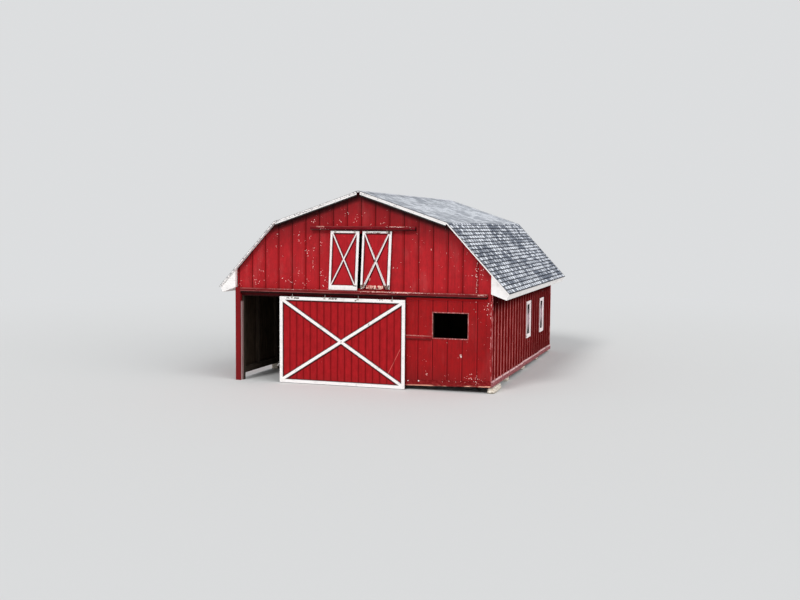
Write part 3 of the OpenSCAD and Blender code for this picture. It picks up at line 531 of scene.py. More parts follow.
def hood_paint(name, node, red, boxes, face_h=0.09, lip=0.8, rub=0.8, foot=0.55):
    """Weathered red on a hood: rubbed top edge, bleached lip, bare inside the boxes, painted shade below the
    face, and right of the door a brighter red that cancels the shade there.
    """
    finish = Finish(name, shine=0.05)
    top_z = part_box(node)[1].z
    foot_z = top_z - face_h
    grain = finish.noise(GRAIN["x"], 4.0, 0.6)
    patches = finish.noise((1.6, 1.6, 8), 4.0, 0.6)
    finish.colour = finish.lit(red, finish.noise((5, 5, 22), 4.0, 0.6).vary(0.7, 1.3))
    # Painted shade: darker down the face board and on the board below it, as under the hood.
    finish.cover(finish.z.ramp(foot_z, top_z - face_h * 0.45, foot, 0.0), (34, 8, 10))
    lower_lip = between(finish.z, foot_z - 0.004, foot_z + 0.026) * patches.ramp(0.4, 0.6, 0.25, lip)
    finish.cover(lower_lip * finish.x.ramp(0.6, 1.6, 1.0, 0.3), (148, 84, 80))
    rubbed = finish.z.ramp(top_z - 0.032, top_z - 0.006) * patches.ramp(0.38, 0.6, 0.15, rub)
    finish.cover(rubbed, (176, 98, 94))
    bared = (finish.noise((13, 13, 40), 4.0, 0.65) + in_boxes(finish, boxes) * 0.28).ramp(0.68, 0.72)
    finish.cover(bared, finish.blend(grain.ramp(0.35, 0.65), (160, 80, 70), (248, 196, 184)))
    # Painted light: right of the door the board below the face is brighter than the wall, to cancel its
    # shade.
    finish.cover((finish.z < foot_z - 0.03) * (finish.x > DOOR_END), (186, 30, 34))
    return finish.done(grain * 0.8 - bared, 0.002, 0.8, 0.75)


hood_top, loft_hood_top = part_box("track_hood")[1].z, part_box("loft_hood")[1].z
hood_bared = [(0.55, hood_top, 0.62, 0.03, 0.9), (1.2, hood_top - 0.01, 0.35, 0.025, 1.0),
              (3.45, hood_top, 0.14, 0.05, 0.8)]
loft_hood_bared = [(-1.10, loft_hood_top - 0.012, 0.14, 0.022, 1.0),
                   (1.10, loft_hood_top, 0.24, 0.014, 1.9)]
ledger_bared = [(1.5, 1.48, 0.5, 0.012, 0.7)]
wear(hood_paint("track_hood_red", "track_hood", (112, 26, 30), hood_bared), "track_hood")
wear(hood_paint("loft_hood_red", "loft_hood", (112, 20, 28), loft_hood_bared, 0.11, 0.0, 0.3, 1.0),
     "loft_hood")
wear(hood_paint("ledger_red", "ledger_board", (138, 28, 32), ledger_bared, 0.11, 0.2, 1.0), "ledger_board")
print("hood tops at", round(hood_top, 3), "and", round(loft_hood_top, 3))

# %% [markdown]
# ## Door and loft leaves
# The big door and the two loft leaves are red panels under white frames with crossed braces. On the
# red beside every white board lies a thin line of painted shadow, dropped a little below the boards,
# and on the door the white boards' own edges carry a dark painted shadow line too; on the leaves
# those edges are overpainted dark red. These dark lines are what make the boards stand out. They
# could be drawn as extra pieces, but the boards' edges are straight, so the distance from them is a
# short sum, and one mask gives both lines. The leaves hang racked, and there the sum first leans
# with the frame.

# %% White paint and crossed frames
def white_paint(name, boxes=(), along="x", dirt=0.35, fleck=0.0, white=(250, 246, 244), extra=None):
    """White paint over boards: grain that shows through, grey dirt, bare places in the boxes."""
    finish = Finish(name)
    grain = finish.noise(GRAIN[along], 4.0, 0.6)
    finish.colour = finish.lit(white, grain.vary(0.93, 1.02))
    finish.cover(finish.noise(4, 5.0, 0.62).ramp(0.5, 0.78, 0.0, dirt), (150, 140, 128))
    worn = finish.noise(24, 5.0, 0.65)
    if boxes:
        worn += in_boxes(finish, boxes) * 0.22
    bared = worn.ramp(0.74 - fleck, 0.77 - fleck)
    finish.cover(bared, finish.blend(grain.ramp(0.35, 0.65), (60, 50, 44), (142, 126, 112)))
    if extra:
        extra(finish)
    return finish.done(grain * 0.5 - bared, 0.001, 0.7, 0.55)


def off_boards(finish, low, high, rack, half_brace, shadow_drop=0.0):
    """Distance from a crossed frame's boards, negative on them; low and high are its inner corners."""
    # A drop shifts the measure down, so that painted shadow falls below the boards.
    z = finish.z + shadow_drop
    across = finish.x + z.line(low[1], high[1], rack, 0.0) if rack else finish.x
    half_x, half_z = (high[0] - low[0]) / 2, (high[1] - low[1]) / 2
    u, v = abs(across - (low[0] + half_x)), abs(z - (low[1] + half_z))
    to_brace = abs(u * half_z - v * half_x) / math.hypot(half_x, half_z) - half_brace
    return least(half_x - u, half_z - v, to_brace)


def edge_shade_and_paint(frames, width, edge_colour):
    """A layer of dark lines along the edges of the boards of crossed frames."""
    def layer(finish):
        gaps = [off_boards(finish, *crossed) for crossed in frames]
        lines = most(*(gap.ramp(-width - 0.002, -width + 0.001) * (gap < 0.001) for gap in gaps))
        finish.cover(lines * 0.85, edge_colour)
    return layer


print("distances from crossed frames can be measured")

# %% Door frame and leaf frames
FRAME_W, HALF_BRACE = 0.1, 0.05
LEAF_W, LEAF_FRAME, LEAF_STILE, LEAF_FOOT = 0.828, 0.062, 0.076, 0.135
LEAF_RACK, LEAF_HALF_BRACE = 0.062, 0.023
door_low, door_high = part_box("door_frame")
door_mid = (door_low.x + door_high.x) / 2
inside = (door_low.x + FRAME_W, door_low.z + FRAME_W), (door_high.x - FRAME_W, door_high.z - FRAME_W)
door_crossed = [(*inside, 0.0, HALF_BRACE)]
leaf_low, leaf_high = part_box("leaf_frames")
leaf_crossed = []
for left, foot in ((leaf_low.x + LEAF_RACK, LEAF_FOOT), (leaf_high.x - LEAF_W, 0.0)):
    rack = LEAF_RACK * (1 - foot / (leaf_high.z - leaf_low.z))
    inside = (left + LEAF_FRAME, leaf_low.z + foot), (left + LEAF_W - LEAF_STILE, leaf_high.z - LEAF_FRAME)
    leaf_crossed.append((*inside, rack, LEAF_HALF_BRACE))
head_z = door_high.z - 0.035
door_bared = [
    (-1.81, head_z, 0.10, 0.026, 1.7), (-0.74, head_z + 0.01, 0.17, 0.026, 1.6),
    (-2.06, head_z, 0.07, 0.03, 1.15), (-0.07, head_z - 0.02, 0.04, 0.03, 1.3),
    (0.3, 1.73, 0.05, 0.04, 1.2), (0.62, head_z + 0.02, 0.12, 0.02, 1.1),
    (door_mid, 1.215, 0.03, 0.03, 1.1)]
leaf_bared = [
    (0.13, leaf_low.z + 0.09, 0.10, 0.10, 1.5), (0.80, leaf_low.z + 0.08, 0.10, 0.10, 1.6),
    (0.86, leaf_high.z - 0.04, 0.05, 0.05, 1.6), (0.46, 3.46, 0.04, 0.045, 1.6),
    (-0.10, leaf_low.z + 0.12, 0.08, 0.03, 1.2), (0.45, leaf_high.z - 0.045, 0.26, 0.022, 1.15)]
# On the door the edge lines are painted shadow; on the leaves they are dark red overpaint.
door_edge_shade = edge_shade_and_paint(door_crossed, 0.012, (66, 26, 28))
leaf_grime = edge_shade_and_paint(leaf_crossed, 0.009, (126, 22, 30))
wear(white_paint("door_white", door_bared, extra=door_edge_shade), "door_frame")
wear(white_paint("leaf_white", leaf_bared, "z", extra=leaf_grime), "leaf_frames")
print("door frame from", round(door_low.x, 3), "to", round(door_high.x, 3))

# %% [markdown]
# ## Panels of the door and the leaves
# Behind the white boards the door is a grooved sheet of a deeper red. The grooves are real cuts in
# the imported panel, and a mask with the same pitch paints shade in a band at each. The long
# scratch and the torn foot of the right leaf happened once, at one place, where no noise would put
# them. They are written as a line and a box, in metres.

# %% Door and leaf panels
SCRATCH = (0.86, 0.39), (1.21, 1.09)
GROOVE_PITCH = 0.2032


def door_red(name, red, frames, boxes, extra):
    """Deep red on the door and the leaves, with painted shadow beside the face boards, dropped below them."""
    finish = Finish(name, shine=0.08)
    brushed = finish.noise((40, 40, 1.1), 4.0)
    mottle = finish.noise((7, 7, 5), 4.0, 0.6)
    finish.colour = finish.lit(red, brushed.ramp(0.25, 0.75, -0.1, 0.1) + mottle.vary(0.88, 1.1))
    # Painted shadow of the face boards on the red, falling below them as if lit from above.
    gaps = [off_boards(finish, *crossed, shadow_drop=0.012) for crossed in frames]
    finish.cover(least(*(gap.ramp(0.006, 0.036, 0.88, 0.0) for gap in gaps)), (22, 6, 9))
    bared = (finish.noise((22, 22, 12), 4.0, 0.65) + in_boxes(finish, boxes) * 0.2).ramp(0.74, 0.77)
    finish.cover(bared, finish.blend(brushed.ramp(0.4, 0.6), (196, 120, 108), (250, 214, 196)))
    finish.cover(finish.z.ramp(0.02, 0.4, 0.35, 0.0) * mottle.vary(), (92, 40, 36))
    extra(finish)
    return finish.done(brushed - bared, 0.001, 0.7, 0.6)


def door_marks(finish):
    """A long thin scratch, painted shade in the grooves, and the dark right-hand edge."""
    (x0, z0), (x1, z1) = SCRATCH
    length = math.hypot(x1 - x0, z1 - z0)
    away = abs((finish.x - x0) * ((z1 - z0) / length) - (finish.z - z0) * ((x1 - x0) / length))
    finish.cover(away.ramp(0.004, 0.009, 0.75, 0.0) * between(finish.z, z0, z1), (226, 118, 110))
    # Painted shade in each groove.
    off_groove = abs((finish.x - door_low.x) / GROOVE_PITCH % 1.0 - 0.5)
    finish.cover(off_groove.ramp(0.03, 0.2, 0.48, 0.0), (96, 4, 8))
    finish.cover(finish.x > door_high.x - 0.001, (60, 22, 24))


def leaf_marks(finish):
    """The foot of the right leaf is torn: dark holes and splinters."""
    torn = between(finish.x, 0.12, 0.85) * finish.z.ramp(leaf_low.z + 0.06, leaf_low.z + 0.11, 1.0, 0.0)
    finish.cover(torn * finish.noise((16, 16, 34), 4.0, 0.7).ramp(0.50, 0.55), (44, 14, 14))


leaf_splits = [(0.315, 2.95, 0.022, 0.06, 1.6), (0.49, leaf_low.z + 0.09, 0.38, 0.07, 1.5)]
wear(door_red("panel_red", (164, 25, 31), door_crossed, [(1.0, 1.1, 0.04, 0.04, 0.3)], door_marks),
     "door_panel", "door_rails")
wear(door_red("leaf_red", (172, 30, 38), leaf_crossed, leaf_splits, leaf_marks), "leaf_panels")
print("door and leaves painted")

# %% [markdown]
# ## Boards that were never painted
# Posts, beams, joists and rafters are sawn softwood, brown with age. Wood looks wrong if its grain
# crosses a board, so the noise is stretched along each piece: along Z in a post, along X in a
# joist. The rafters lean, and there the coordinates are turned to the slope before the noise reads
# them, which is simpler than unwrapping every rafter.

# %% Timber
POST_D, POST_EDGE = 0.08, -3.505


def timber(name, along, lean=None, extra=None):
    """Aged sawn wood with its grain along an axis, or along a roof slope."""
    finish = Finish(name)
    if lean is not None:
        side = abs(finish.x)
        run = side * math.cos(lean) - finish.z * math.sin(lean)
        rise = side * math.sin(lean) + finish.z * math.cos(lean)
        finish.place = finish.node("ShaderNodeCombineXYZ", (run, finish.y, rise)).outputs[0]
    finish.colour, grain = bare_wood(finish, along)
    if extra:
        extra(finish)
    return finish.done(grain, 0.0015, 0.8, finish.noise(3, 2.0).vary(0.7, 0.9))


def pale_lit_post(finish):
    """The post beside the doorway is pale grey on its front, partly its own colour and partly painted
    daylight, up to where daylight ends.
    """
    front = (finish.y < front_y + POST_D) * (finish.x < POST_EDGE) * finish.z.ramp(*DAYLIGHT_TOP, 1.0, 0.0)
    finish.cover(front * finish.noise((10, 10, 1.6), 4.0).ramp(0.3, 0.6, 0.6, 1.0), (168, 136, 134))


wear(timber("timber_z", "z", extra=pale_lit_post), "wall_posts")
wear(timber("timber_x", "x"), "end_beams", "loft_joists")
wear(timber("timber_y", "y"), "top_plates", "purlins", "sill_beams")
wear(timber("timber_upper", "x", upper_lean), "rafters_upper")
wear(timber("timber_lower", "x", lower_lean), "rafters_lower")
print("timber finished")

# %% [markdown]
# ## White trim of the roof
# Rake boards follow the gable's two slopes, and a fascia and a soffit box in each eave. All have
# the white paint of the door, which would look too clean on its own up there. So the rakes get a
# painted shadow line along the top edge under the shingles, specks that thin out to the right, a
# painted shadow along the lower edge, and painted shade at the peak. Both lines follow the slopes,
# because they are measured from the roof lines.

# %% Roof trim
def rake_specks_and_shade(finish):
    """Painted shadow lines along the top and the lower edge, painted shade at the peak, and grey specks."""
    depth = least(*under_roof(finish))
    worn = finish.noise((20, 20, 30), 4.0, 0.65) + finish.x.line(-2.5, 2.5, 0.05, -0.08)
    finish.cover(worn.ramp(0.56, 0.61) * depth.ramp(0.07, 0.08, 0.8, 0.0), (92, 96, 104))
    # Painted shade: a line under the shingles along the top, a band along the lower edge, and the notch at
    # the peak.
    peak = abs(finish.x) < finish.z.line(ridge_z - 0.13, ridge_z - 0.03, 0.02, 0.062)
    edges = most(depth.ramp(0.004, 0.012, 0.85, 0.0), depth.ramp(0.081, 0.087, 0.0, 0.97), peak)
    finish.cover(edges, (14, 8, 10))


wear(white_paint("rake_white", dirt=0.25, extra=rake_specks_and_shade), "rake_boards")
for node, along in (("fascia_boards", "y"), ("soffit_boards", "y"), ("eave_closures", "x")):
    wear(white_paint("white_" + node, along=along, dirt=0.3, fleck=0.01), node)
wear(white_paint("pull_white", along="z", dirt=0.1), "door_pull")
print("roof trim finished")

# %% [markdown]
# ## Windows
# A side window has white trim, a greyer bar across its sashes, and two panes. Glass could be a
# clear shader, but there is only darkness behind it. So a pane is a matt surface with a painted grey
# reflection in the middle and painted shade of the dark inside, nearly black, towards its top and
# foot, which looks the same from every side and costs no time to render.

# %% Windows and glass
PANE_Z, BAR_HALF, PANE_HALF = 1.485, 0.06, 0.24
windows = solids_of("window_frames")
window_ys = sorted({round((low.y + high.y) / 2, 2) for low, high in windows})


def dull_bar(finish):
    """The bar across the sashes is grey, unlike the trim around them."""
    in_sash = most(*(between(finish.y, y - PANE_HALF, y + PANE_HALF) for y in window_ys))
    finish.cover(between(finish.z, PANE_Z - BAR_HALF, PANE_Z + BAR_HALF) * in_sash, (168, 142, 150))


def pane():
    """Glass as a matt sheet: painted shade, near black, at its top and foot, and a painted grey reflection in
    the middle.
    """
    finish = Finish("shade_and_reflection_glass", 0.4, shine=0.0)
    off_middle = abs(finish.z - PANE_Z) + finish.noise((14, 9, 7), 4.0).vary(-0.1, 0.1)
    finish.colour = finish.blend(off_middle.ramp(0.12, 0.3), (170, 144, 152), (5, 3, 4))
    return finish.done()


wear(white_paint("window_white", along="z", dirt=0.15, white=(255, 244, 244), extra=dull_bar),
     "window_frames")
wear(pane(), "window_glass")
wear(red_paint("edging_red", (158, 84, 82), 0.8, inner=False, rubbed=0.12), "front_window_edging")
print("windows at", window_ys)

# %% [markdown]
# ## Steel
# The doors hang on steel straps from steel tracks. The straps are pale where rain has washed them,
# and the tracks are painted nearly black as the shade under their hoods. Rust changes colour,
# roughness and grain at the same places, so one noise drives all three. Three noises would never
# meet.

# %% Steel
def old_steel(name, base, rust, metallic=0.35):
    """Dull steel with rust that gathers in patches."""
    finish = Finish(name, 0.6, metallic)
    patch = finish.noise(26, 5.0, 0.65)
    finish.colour = finish.blend(patch.ramp(0.62 - rust, 0.78 - rust), base, [c * 0.6 + 24 for c in base])
    return finish.done(patch, 0.0006, 0.6, patch.vary(0.5, 0.85))


# The tracks' near black is painted shade under their hoods.
wear(old_steel("track_steel", (30, 12, 12), 0.0), "door_track", "loft_track")
wear(old_steel("hanger_steel", (190, 180, 174), 0.04), "door_hangers", "leaf_hangers")
print("steel finished")

# %% [markdown]
# ## Trees that repeat a shape
# Shingles, floor boards and fasteners repeat hundreds of times. An Array modifier could copy them
# in rows, but it can't vary each copy or leave one out. Geometry Nodes can: one tree holds the
# rule, named inputs hold the sizes, and a fixed seed holds the chance. Each tree ends by storing
# a random tone on every copy, making the copies real and giving them a material, and the result
# is turned into a plain mesh.

# %% Rule class
class Rule(Tree):
    """A Geometry Nodes tree with named inputs, and short calls that draw it."""

    SOCKETS = {int: "NodeSocketInt", float: "NodeSocketFloat"}

    def __init__(self, name, sizes):
        self.group = bpy.data.node_groups.new(name, "GeometryNodeTree")
        super().__init__(self.group)
        face = self.group.interface
        face.new_socket("Geometry", in_out="INPUT", socket_type="NodeSocketGeometry")
        self.names = {}
        for label, kind in [(label, self.SOCKETS[type(value)]) for label, value in sizes.items()] + [
                ("Finish", "NodeSocketMaterial"), ("Shape", "NodeSocketObject")]:
            socket = face.new_socket(label, in_out="INPUT", socket_type=kind)
            self.names[label] = socket.identifier
            if label in sizes:
                socket.default_value = sizes[label]
        face.new_socket("Geometry", in_out="OUTPUT", socket_type="NodeSocketGeometry")
        self.source, self.sink = self.node("NodeGroupInput"), self.node("NodeGroupOutput")
        self.index = Value(self, self.node("GeometryNodeInputIndex").outputs[0])
        self.sizes = [self.size(label) for label in sizes]

    def size(self, label):
        return Value(self, self.source.outputs[label])

    def attribute(self, name):
        node = self.node("GeometryNodeInputNamedAttribute", {"Name": name}, data_type="FLOAT")
        return Value(self, node.outputs[0])

    def vector(self, x, y, z):
        return self.node("ShaderNodeCombineXYZ", (x, y, z)).outputs[0]

    def chance(self, low, high, seed, index):
        """A random number for each element, fixed by a seed."""
        node = self.node("FunctionNodeRandomValue", data_type="FLOAT")
        values = {"Min": low, "Max": high, "ID": index, "Seed": seed}
        for socket in node.inputs:
            if socket.enabled:
                self.put(socket, values.get(socket.name))
        return Value(self, next(socket for socket in node.outputs if socket.enabled))

    def points(self, count, place):
        return self.node("GeometryNodePoints", {"Count": count, "Position": place}).outputs[0]

    def lay(self, points, shape, **turns):
        """Copies of a shape at points, with their rotation and scale."""
        values = {"Points": points, "Instance": shape, **turns}
        return self.node("GeometryNodeInstanceOnPoints", values).outputs[0]

    def close(self, copies, tone):
        """Stores each copy's tone, makes the copies real, gives them the material and ends the tree."""
        values = {"Geometry": copies, "Name": "tone", "Value": tone}
        toned = self.node("GeometryNodeStoreNamedAttribute", values, data_type="FLOAT", domain="INSTANCE")
        real = self.node("GeometryNodeRealizeInstances", (toned.outputs[0],))
        values = {"Geometry": real.outputs[0], "Material": self.size("Finish")}
        self.put(self.sink.inputs[0], self.node("GeometryNodeSetMaterial", values).outputs[0])
        print(self.group.name, "has", len(self.nodes), "nodes")

    def grow(self, name, mesh, material, sizes, shape=None):
        """Runs the tree on a mesh and returns the result as a plain mesh object."""
        seed_object = placed(name + "_seed", mesh)
        modifier = seed_object.modifiers.new("rule", "NODES")
        modifier.node_group = self.group
        shape_object = bpy.data.objects.new(name + "_shape", shape) if shape else None
        for label, value in {**sizes, "Finish": material, "Shape": shape_object}.items():
            if value is not None:
                modifier[self.names[label]] = value
        bpy.context.view_layer.update()
        ready = seed_object.evaluated_get(bpy.context.evaluated_depsgraph_get())
        result = bpy.data.meshes.new_from_object(ready)
        bpy.data.objects.remove(seed_object)
        if shape_object:
            bpy.data.objects.remove(shape_object)
        result.name = name
        return placed(name, result)


print("rules can be drawn")


# %% Plain shapes
def store(mesh, name, values):
    """Stores a number on each vertex."""
    mesh.attributes.new(name, "FLOAT", "POINT").data.foreach_set("value", values)


def from_sheet(name, sheet):
    """A mesh from a bmesh, which is then freed."""
    mesh = bpy.data.meshes.new(name)
    sheet.to_mesh(mesh)
    sheet.free()
    return mesh


def join_rings(sheet, low, high):
    """Faces between two closed rings of vertices."""
    for face in zip(low, low[1:] + low[:1], high[1:] + high[:1], high):
        sheet.faces.new(face)


def skin(sheet, *rings):
    """A closed skin over rings of vertices, from the lowest to the highest."""
    sheet.faces.new(rings[0][::-1])
    sheet.faces.new(rings[-1])
    for low, high in zip(rings, rings[1:]):
        join_rings(sheet, low, high)


def prism(outline, thickness):
    """A closed mesh from an outline in X and Y, carried up from Z = 0."""
    sheet = bmesh.new()
    skin(sheet, *([sheet.verts.new((x, y, z)) for x, y in outline] for z in (0, thickness)))
    return from_sheet("prism", sheet)


print("plain shapes can be made")

# %% [markdown]
# ## Shingles
# The roof is laid with three-tab shingles: courses 127 mm apart, tabs 305 mm wide, each course
# half a tab along from the last. The tabs are a blend of pale and dark greys, some paler in turn
# and some by chance, and whole patches lean to one or the other, which gives the slope its
# mottled look. A picture on flat slopes would lose the steps at the butts. So each tab here is a
# thin wedge whose butt stands over the course below, with its own tone stored on it; the material
# reads that tone, paints shadow in a band at the butt, and darkens the slots beside the tab.

# %% Shingle finish
def shingle_finish(name, dark, pale, spread, band, line=(46, 50, 58), run_y=None, edge=0.0):
    """Grey granules: a tone for each tab, a band of painted shadow at its butt, dark slots beside it, and, if
    edge is given, painted shadow along the front edge.
    """
    finish = Finish(name, 0.9, shine=0.05)
    patch = finish.noise((1.3, 0.8, 1.3), 3.0, 0.6).ramp(0.36, 0.64, -0.3, 0.3)
    tone = (finish.attribute("tone") + patch).ramp(0.5 - spread, 0.5 + spread)
    grit = finish.noise(260, 2.0, 0.7)
    blot = finish.noise((14, 9, 14), 3.0, 0.6)
    light = finish.noise((0.5, 0.3, 0.5), 2.0).vary(0.95, 1.05)
    light += finish.y.line(front_y, back_y, -0.06, 0.06)
    light += grit.ramp(0.25, 0.75, -0.1, 0.1)
    finish.colour = finish.lit(finish.blend(tone, dark, pale), light + blot.vary(-0.05, 0.05))
    if run_y is not None:
        pale_run = abs(finish.y - run_y).ramp(0.03, 0.11, 0.5, 0.0) * (finish.x > 0.0)
        finish.cover(pale_run, (226, 230, 236))
    # Painted shadow in a band at each butt; the slots are dark joints.
    butt = (finish.attribute("up") + blot.vary(-0.1, 0.1)).ramp(0.18, 0.38, band, 0.0)
    slot = abs(finish.attribute("across")).ramp(0.66, 0.84, 0.0, band * 0.85)
    finish.cover(most(butt, slot), line)
    # Painted shadow along the front edge of the slope, beside the rake.
    if edge:
        finish.cover(finish.y.ramp(front_y, front_y + 0.12, edge, 0.0), (70, 74, 82))
    return finish.done(grit, 0.0015, 0.6)


print("shingles can be mixed")

# %% [markdown]
# ## The rule that lays shingles
# The tree turns the number of a tab into its row and its place in the row. A loop in Python could
# do that too, but here the sizes stay inputs, so one tree lays all four slopes. Tabs are cut at
# the ends of a slope, slivers are left out, and chance shifts and turns each tab a little.

# %% Shingle rule
TAB, EXPOSURE, SLIVER, TURN_SEED = 0.305, 0.127, 0.012, 11
shingle_rule = Rule("shingle_rule", {"Tab": TAB, "Exposure": EXPOSURE, "Half length": 5.0,
                                     "Rows": 20, "Columns": 34, "Seed": 7})
tab_w, exposure, half_length, rows, columns, seed = shingle_rule.sizes
index, chance = shingle_rule.index, shingle_rule.chance
row = (index + 0.5) // columns
column = index - row * columns
shift = (row % 2.0 + chance(-0.06, 0.06, seed, row)) * 0.5
left = (column - shift) * tab_w - half_length
start, end = most(left, -half_length), least(left + tab_w, half_length)
width = end - start
down = (row + 1.0) * exposure + chance(-0.003, 0.001, seed, index)
spot = shingle_rule.vector((start + end) * 0.5, down, chance(-0.0008, 0.0, seed, index))
laid = shingle_rule.lay(
    shingle_rule.points(rows * columns, spot), shingle_rule.size("Geometry"),
    Rotation=shingle_rule.vector(0.0, 0.0, chance(-0.004, 0.004, seed, index)),
    Scale=shingle_rule.vector(width / tab_w, 1.0, 1.0))
kept = shingle_rule.node("GeometryNodeDeleteGeometry", {"Geometry": laid, "Selection": width < SLIVER},
                         domain="INSTANCE")
every_other = (column + chance(0.0, 3.0, TURN_SEED, row) // 1.0) % 2.0
shingle_rule.close(kept.outputs[0], chance(0.0, 1.0, seed, index) * 0.82 + every_other * 0.18)

# %% [markdown]
# ## Tabs, decks and slopes
# A tab is a wedge with a few faces, because each slope has hundreds. Under the tabs lies the
# boarded deck, a plain slab. Both are laid flat, where a rule is simple, and one matrix then
# carries them to their slope. Turning every tab by itself would give the same roof with more work.

# %% Tab and deck shapes
LAP, BUTT, HEEL, THIN, DECK, CORNER = 0.028, 0.0052, 0.0022, 0.0012, 0.030, 0.007
SLOT, END_GAP, TOP_GAP, DECK_TOP, FOOT_LIFT = 0.004, 0.004, 0.006, 0.022, 0.003
UNDER, SPARE = 0.0002, 0.05
half_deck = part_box("roof_lower_right")[1].y


def tab_mesh():
    """One tab: a wedge, thick at its butt, with its lower corners a little rounded."""
    half, up, r = TAB / 2 - SLOT, -(EXPOSURE + LAP), CORNER
    outline = [(-half, up), (half, up), (half, -r), (half - r * 0.4, -r * 0.3), (half - r, 0),
               (-half + r, 0), (-half + r * 0.4, -r * 0.3), (-half, -r)]
    mesh = prism(outline, 1.0)
    for v in mesh.vertices:
        share = (v.co.y - up) / -up
        v.co.z = HEEL * share + (THIN + (BUTT - THIN) * share) * v.co.z
    store(mesh, "up", [v.co.y / -EXPOSURE for v in mesh.vertices])
    store(mesh, "across", [v.co.x / half for v in mesh.vertices])
    return mesh


def slope(name, top, foot, lean, finish, seed_number, mirrored):
    """Shingles and deck of one slope, laid flat, then carried to the roof."""
    length = math.dist(top, foot)
    count = math.ceil((length - SPARE) / EXPOSURE) + 1
    grown = shingle_rule.grow(name, tab_mesh(), finish, {
        "Tab": TAB, "Exposure": EXPOSURE, "Half length": half_deck, "Rows": count,
        "Columns": math.ceil(2 * half_deck / TAB) + 2, "Seed": seed_number})
    sheet = bmesh.new()
    sheet.from_mesh(grown.data)
    shift_down = length - count * EXPOSURE - FOOT_LIFT
    for v in sheet.verts:
        v.co.y = max(v.co.y + shift_down, END_GAP)
        v.co.z -= BUTT + HEEL + UNDER
    foot_y = length - END_GAP
    skin(sheet, *([sheet.verts.new((x, y, z)) for x, y in (
        (-half_deck, top_y), (half_deck, top_y), (half_deck, foot_y), (-half_deck, foot_y))]
        for z, top_y in ((-DECK, DECK_TOP), (-(BUTT + HEEL + 2 * UNDER), TOP_GAP))))
    # Laid flat, X runs along the barn, Y down the slope and Z out of it. Those axes are mirrored
    # on the roof, so the faces are turned round again.
    along = Vector((0, 1, 0))
    downhill = Vector((math.cos(lean), 0, -math.sin(lean)))
    outward = Vector((math.sin(lean), 0, math.cos(lean)))
    carry = Matrix((along, downhill, outward)).transposed().to_4x4()
    carry.translation = Vector((top[0], 0, top[1]))
    sheet.transform(Matrix.Rotation(math.pi, 4, "Z") @ carry if mirrored else carry)
    bmesh.ops.reverse_faces(sheet, faces=sheet.faces)
    sheet.to_mesh(grown.data)
    sheet.free()
    return grown


print("slopes are", round(math.dist((0, ridge_z), knee), 3), "and", round(math.dist(knee, eave), 3), "m long")

# %% Four slopes
upper_shingles = shingle_finish("upper_shingles", (176, 180, 187), (238, 241, 246), 0.5, 0.55,
                                (112, 116, 126), edge=0.7)
lower_shingles = shingle_finish("lower_shingles", (128, 134, 146), (236, 240, 248), 0.42, 0.95,
                                (22, 26, 36), run_y=-0.92)
slopes = (("upper", (0.0, ridge_z), knee, upper_lean, 5, upper_shingles),
          ("lower", knee, eave, lower_lean, 9, lower_shingles))
for name, top, foot, lean, seed_number, finish in slopes:
    for side, mirrored in (("right", False), ("left", True)):
        roof = slope(f"shingles_{name}_{side}", top, foot, lean, finish, seed_number + mirrored, mirrored)
        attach(roof, "root")
        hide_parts(f"roof_{name}_{side}")
        print(roof.name, "has", sum(len(p.vertices) - 2 for p in roof.data.polygons), "triangles")

# %% [markdown]
# ## Footing stones
# The sills rest on rough field stones, and a pale one shows at the front corner. Each CAD block
# marks the room that one pair of stones may fill, so its box is measured from the frame. Stones
# could be sculpted one by one, but no two boxes are alike. So each starts as a cube of many small
# faces, noise pushes every vertex inwards, more at the edges, and the result is held inside the
# box, flat where it carries the sill.

# %% Stone shapes
EDGE_POWER, SWELL, ROUNDING, STONE_LAP = 0.82, 1.12, 0.42, 0.004


def rough_stone(sheet, low, high, seed_number):
    """Adds one rough stone that fills a box but for its knocked-off edges."""
    block = bmesh.ops.create_cube(sheet, size=2.0)
    edges = {edge for vert in block["verts"] for edge in vert.link_edges}
    bmesh.ops.subdivide_edges(sheet, edges=list(edges), cuts=5, use_grid_fill=True)
    middle, half = (low + high) / 2, (high - low) / 2
    for vert in [v for v in sheet.verts if not v.tag]:
        vert.tag = True
        c = vert.co.copy()
        round_shape = Vector(tuple(math.copysign(abs(n) ** EDGE_POWER, n) for n in c.normalized()))
        shape = c.lerp(round_shape * SWELL, ROUNDING)
        shape *= 1 + (0.10 * noise.noise(c * 1.7 + Vector((seed_number, 3, 1)))
                      + 0.05 * noise.noise(c * 5 + Vector((2, seed_number, 7))))
        vert.co = middle + Vector(tuple(max(-1.0, min(1.0, n)) * h for n, h in zip(shape, half)))


def footing_stones():
    """Two stones, one on the other, in the box of each footing block."""
    sheet = bmesh.new()
    draw = random.Random(4)
    for n, (low, high) in enumerate(solids_of("footing_blocks")):
        long = 0 if high.x - low.x > high.y - low.y else 1
        split = low.z + (high.z - low.z) * draw.uniform(0.42, 0.6)
        rough_stone(sheet, low, Vector((high.x, high.y, split + STONE_LAP)), 10 * n)
        top_low, top_high = Vector((low.x, low.y, split - STONE_LAP)), high.copy()
        top_low[long] += draw.uniform(0.0, 0.06)
        top_high[long] -= draw.uniform(0.0, 0.08)
        rough_stone(sheet, top_low, top_high, 10 * n + 5)
    return placed("footing_stones", from_sheet("footing_stones", sheet))


stones = footing_stones()
print("stones:", len(solids_of("footing_blocks")) * 2)

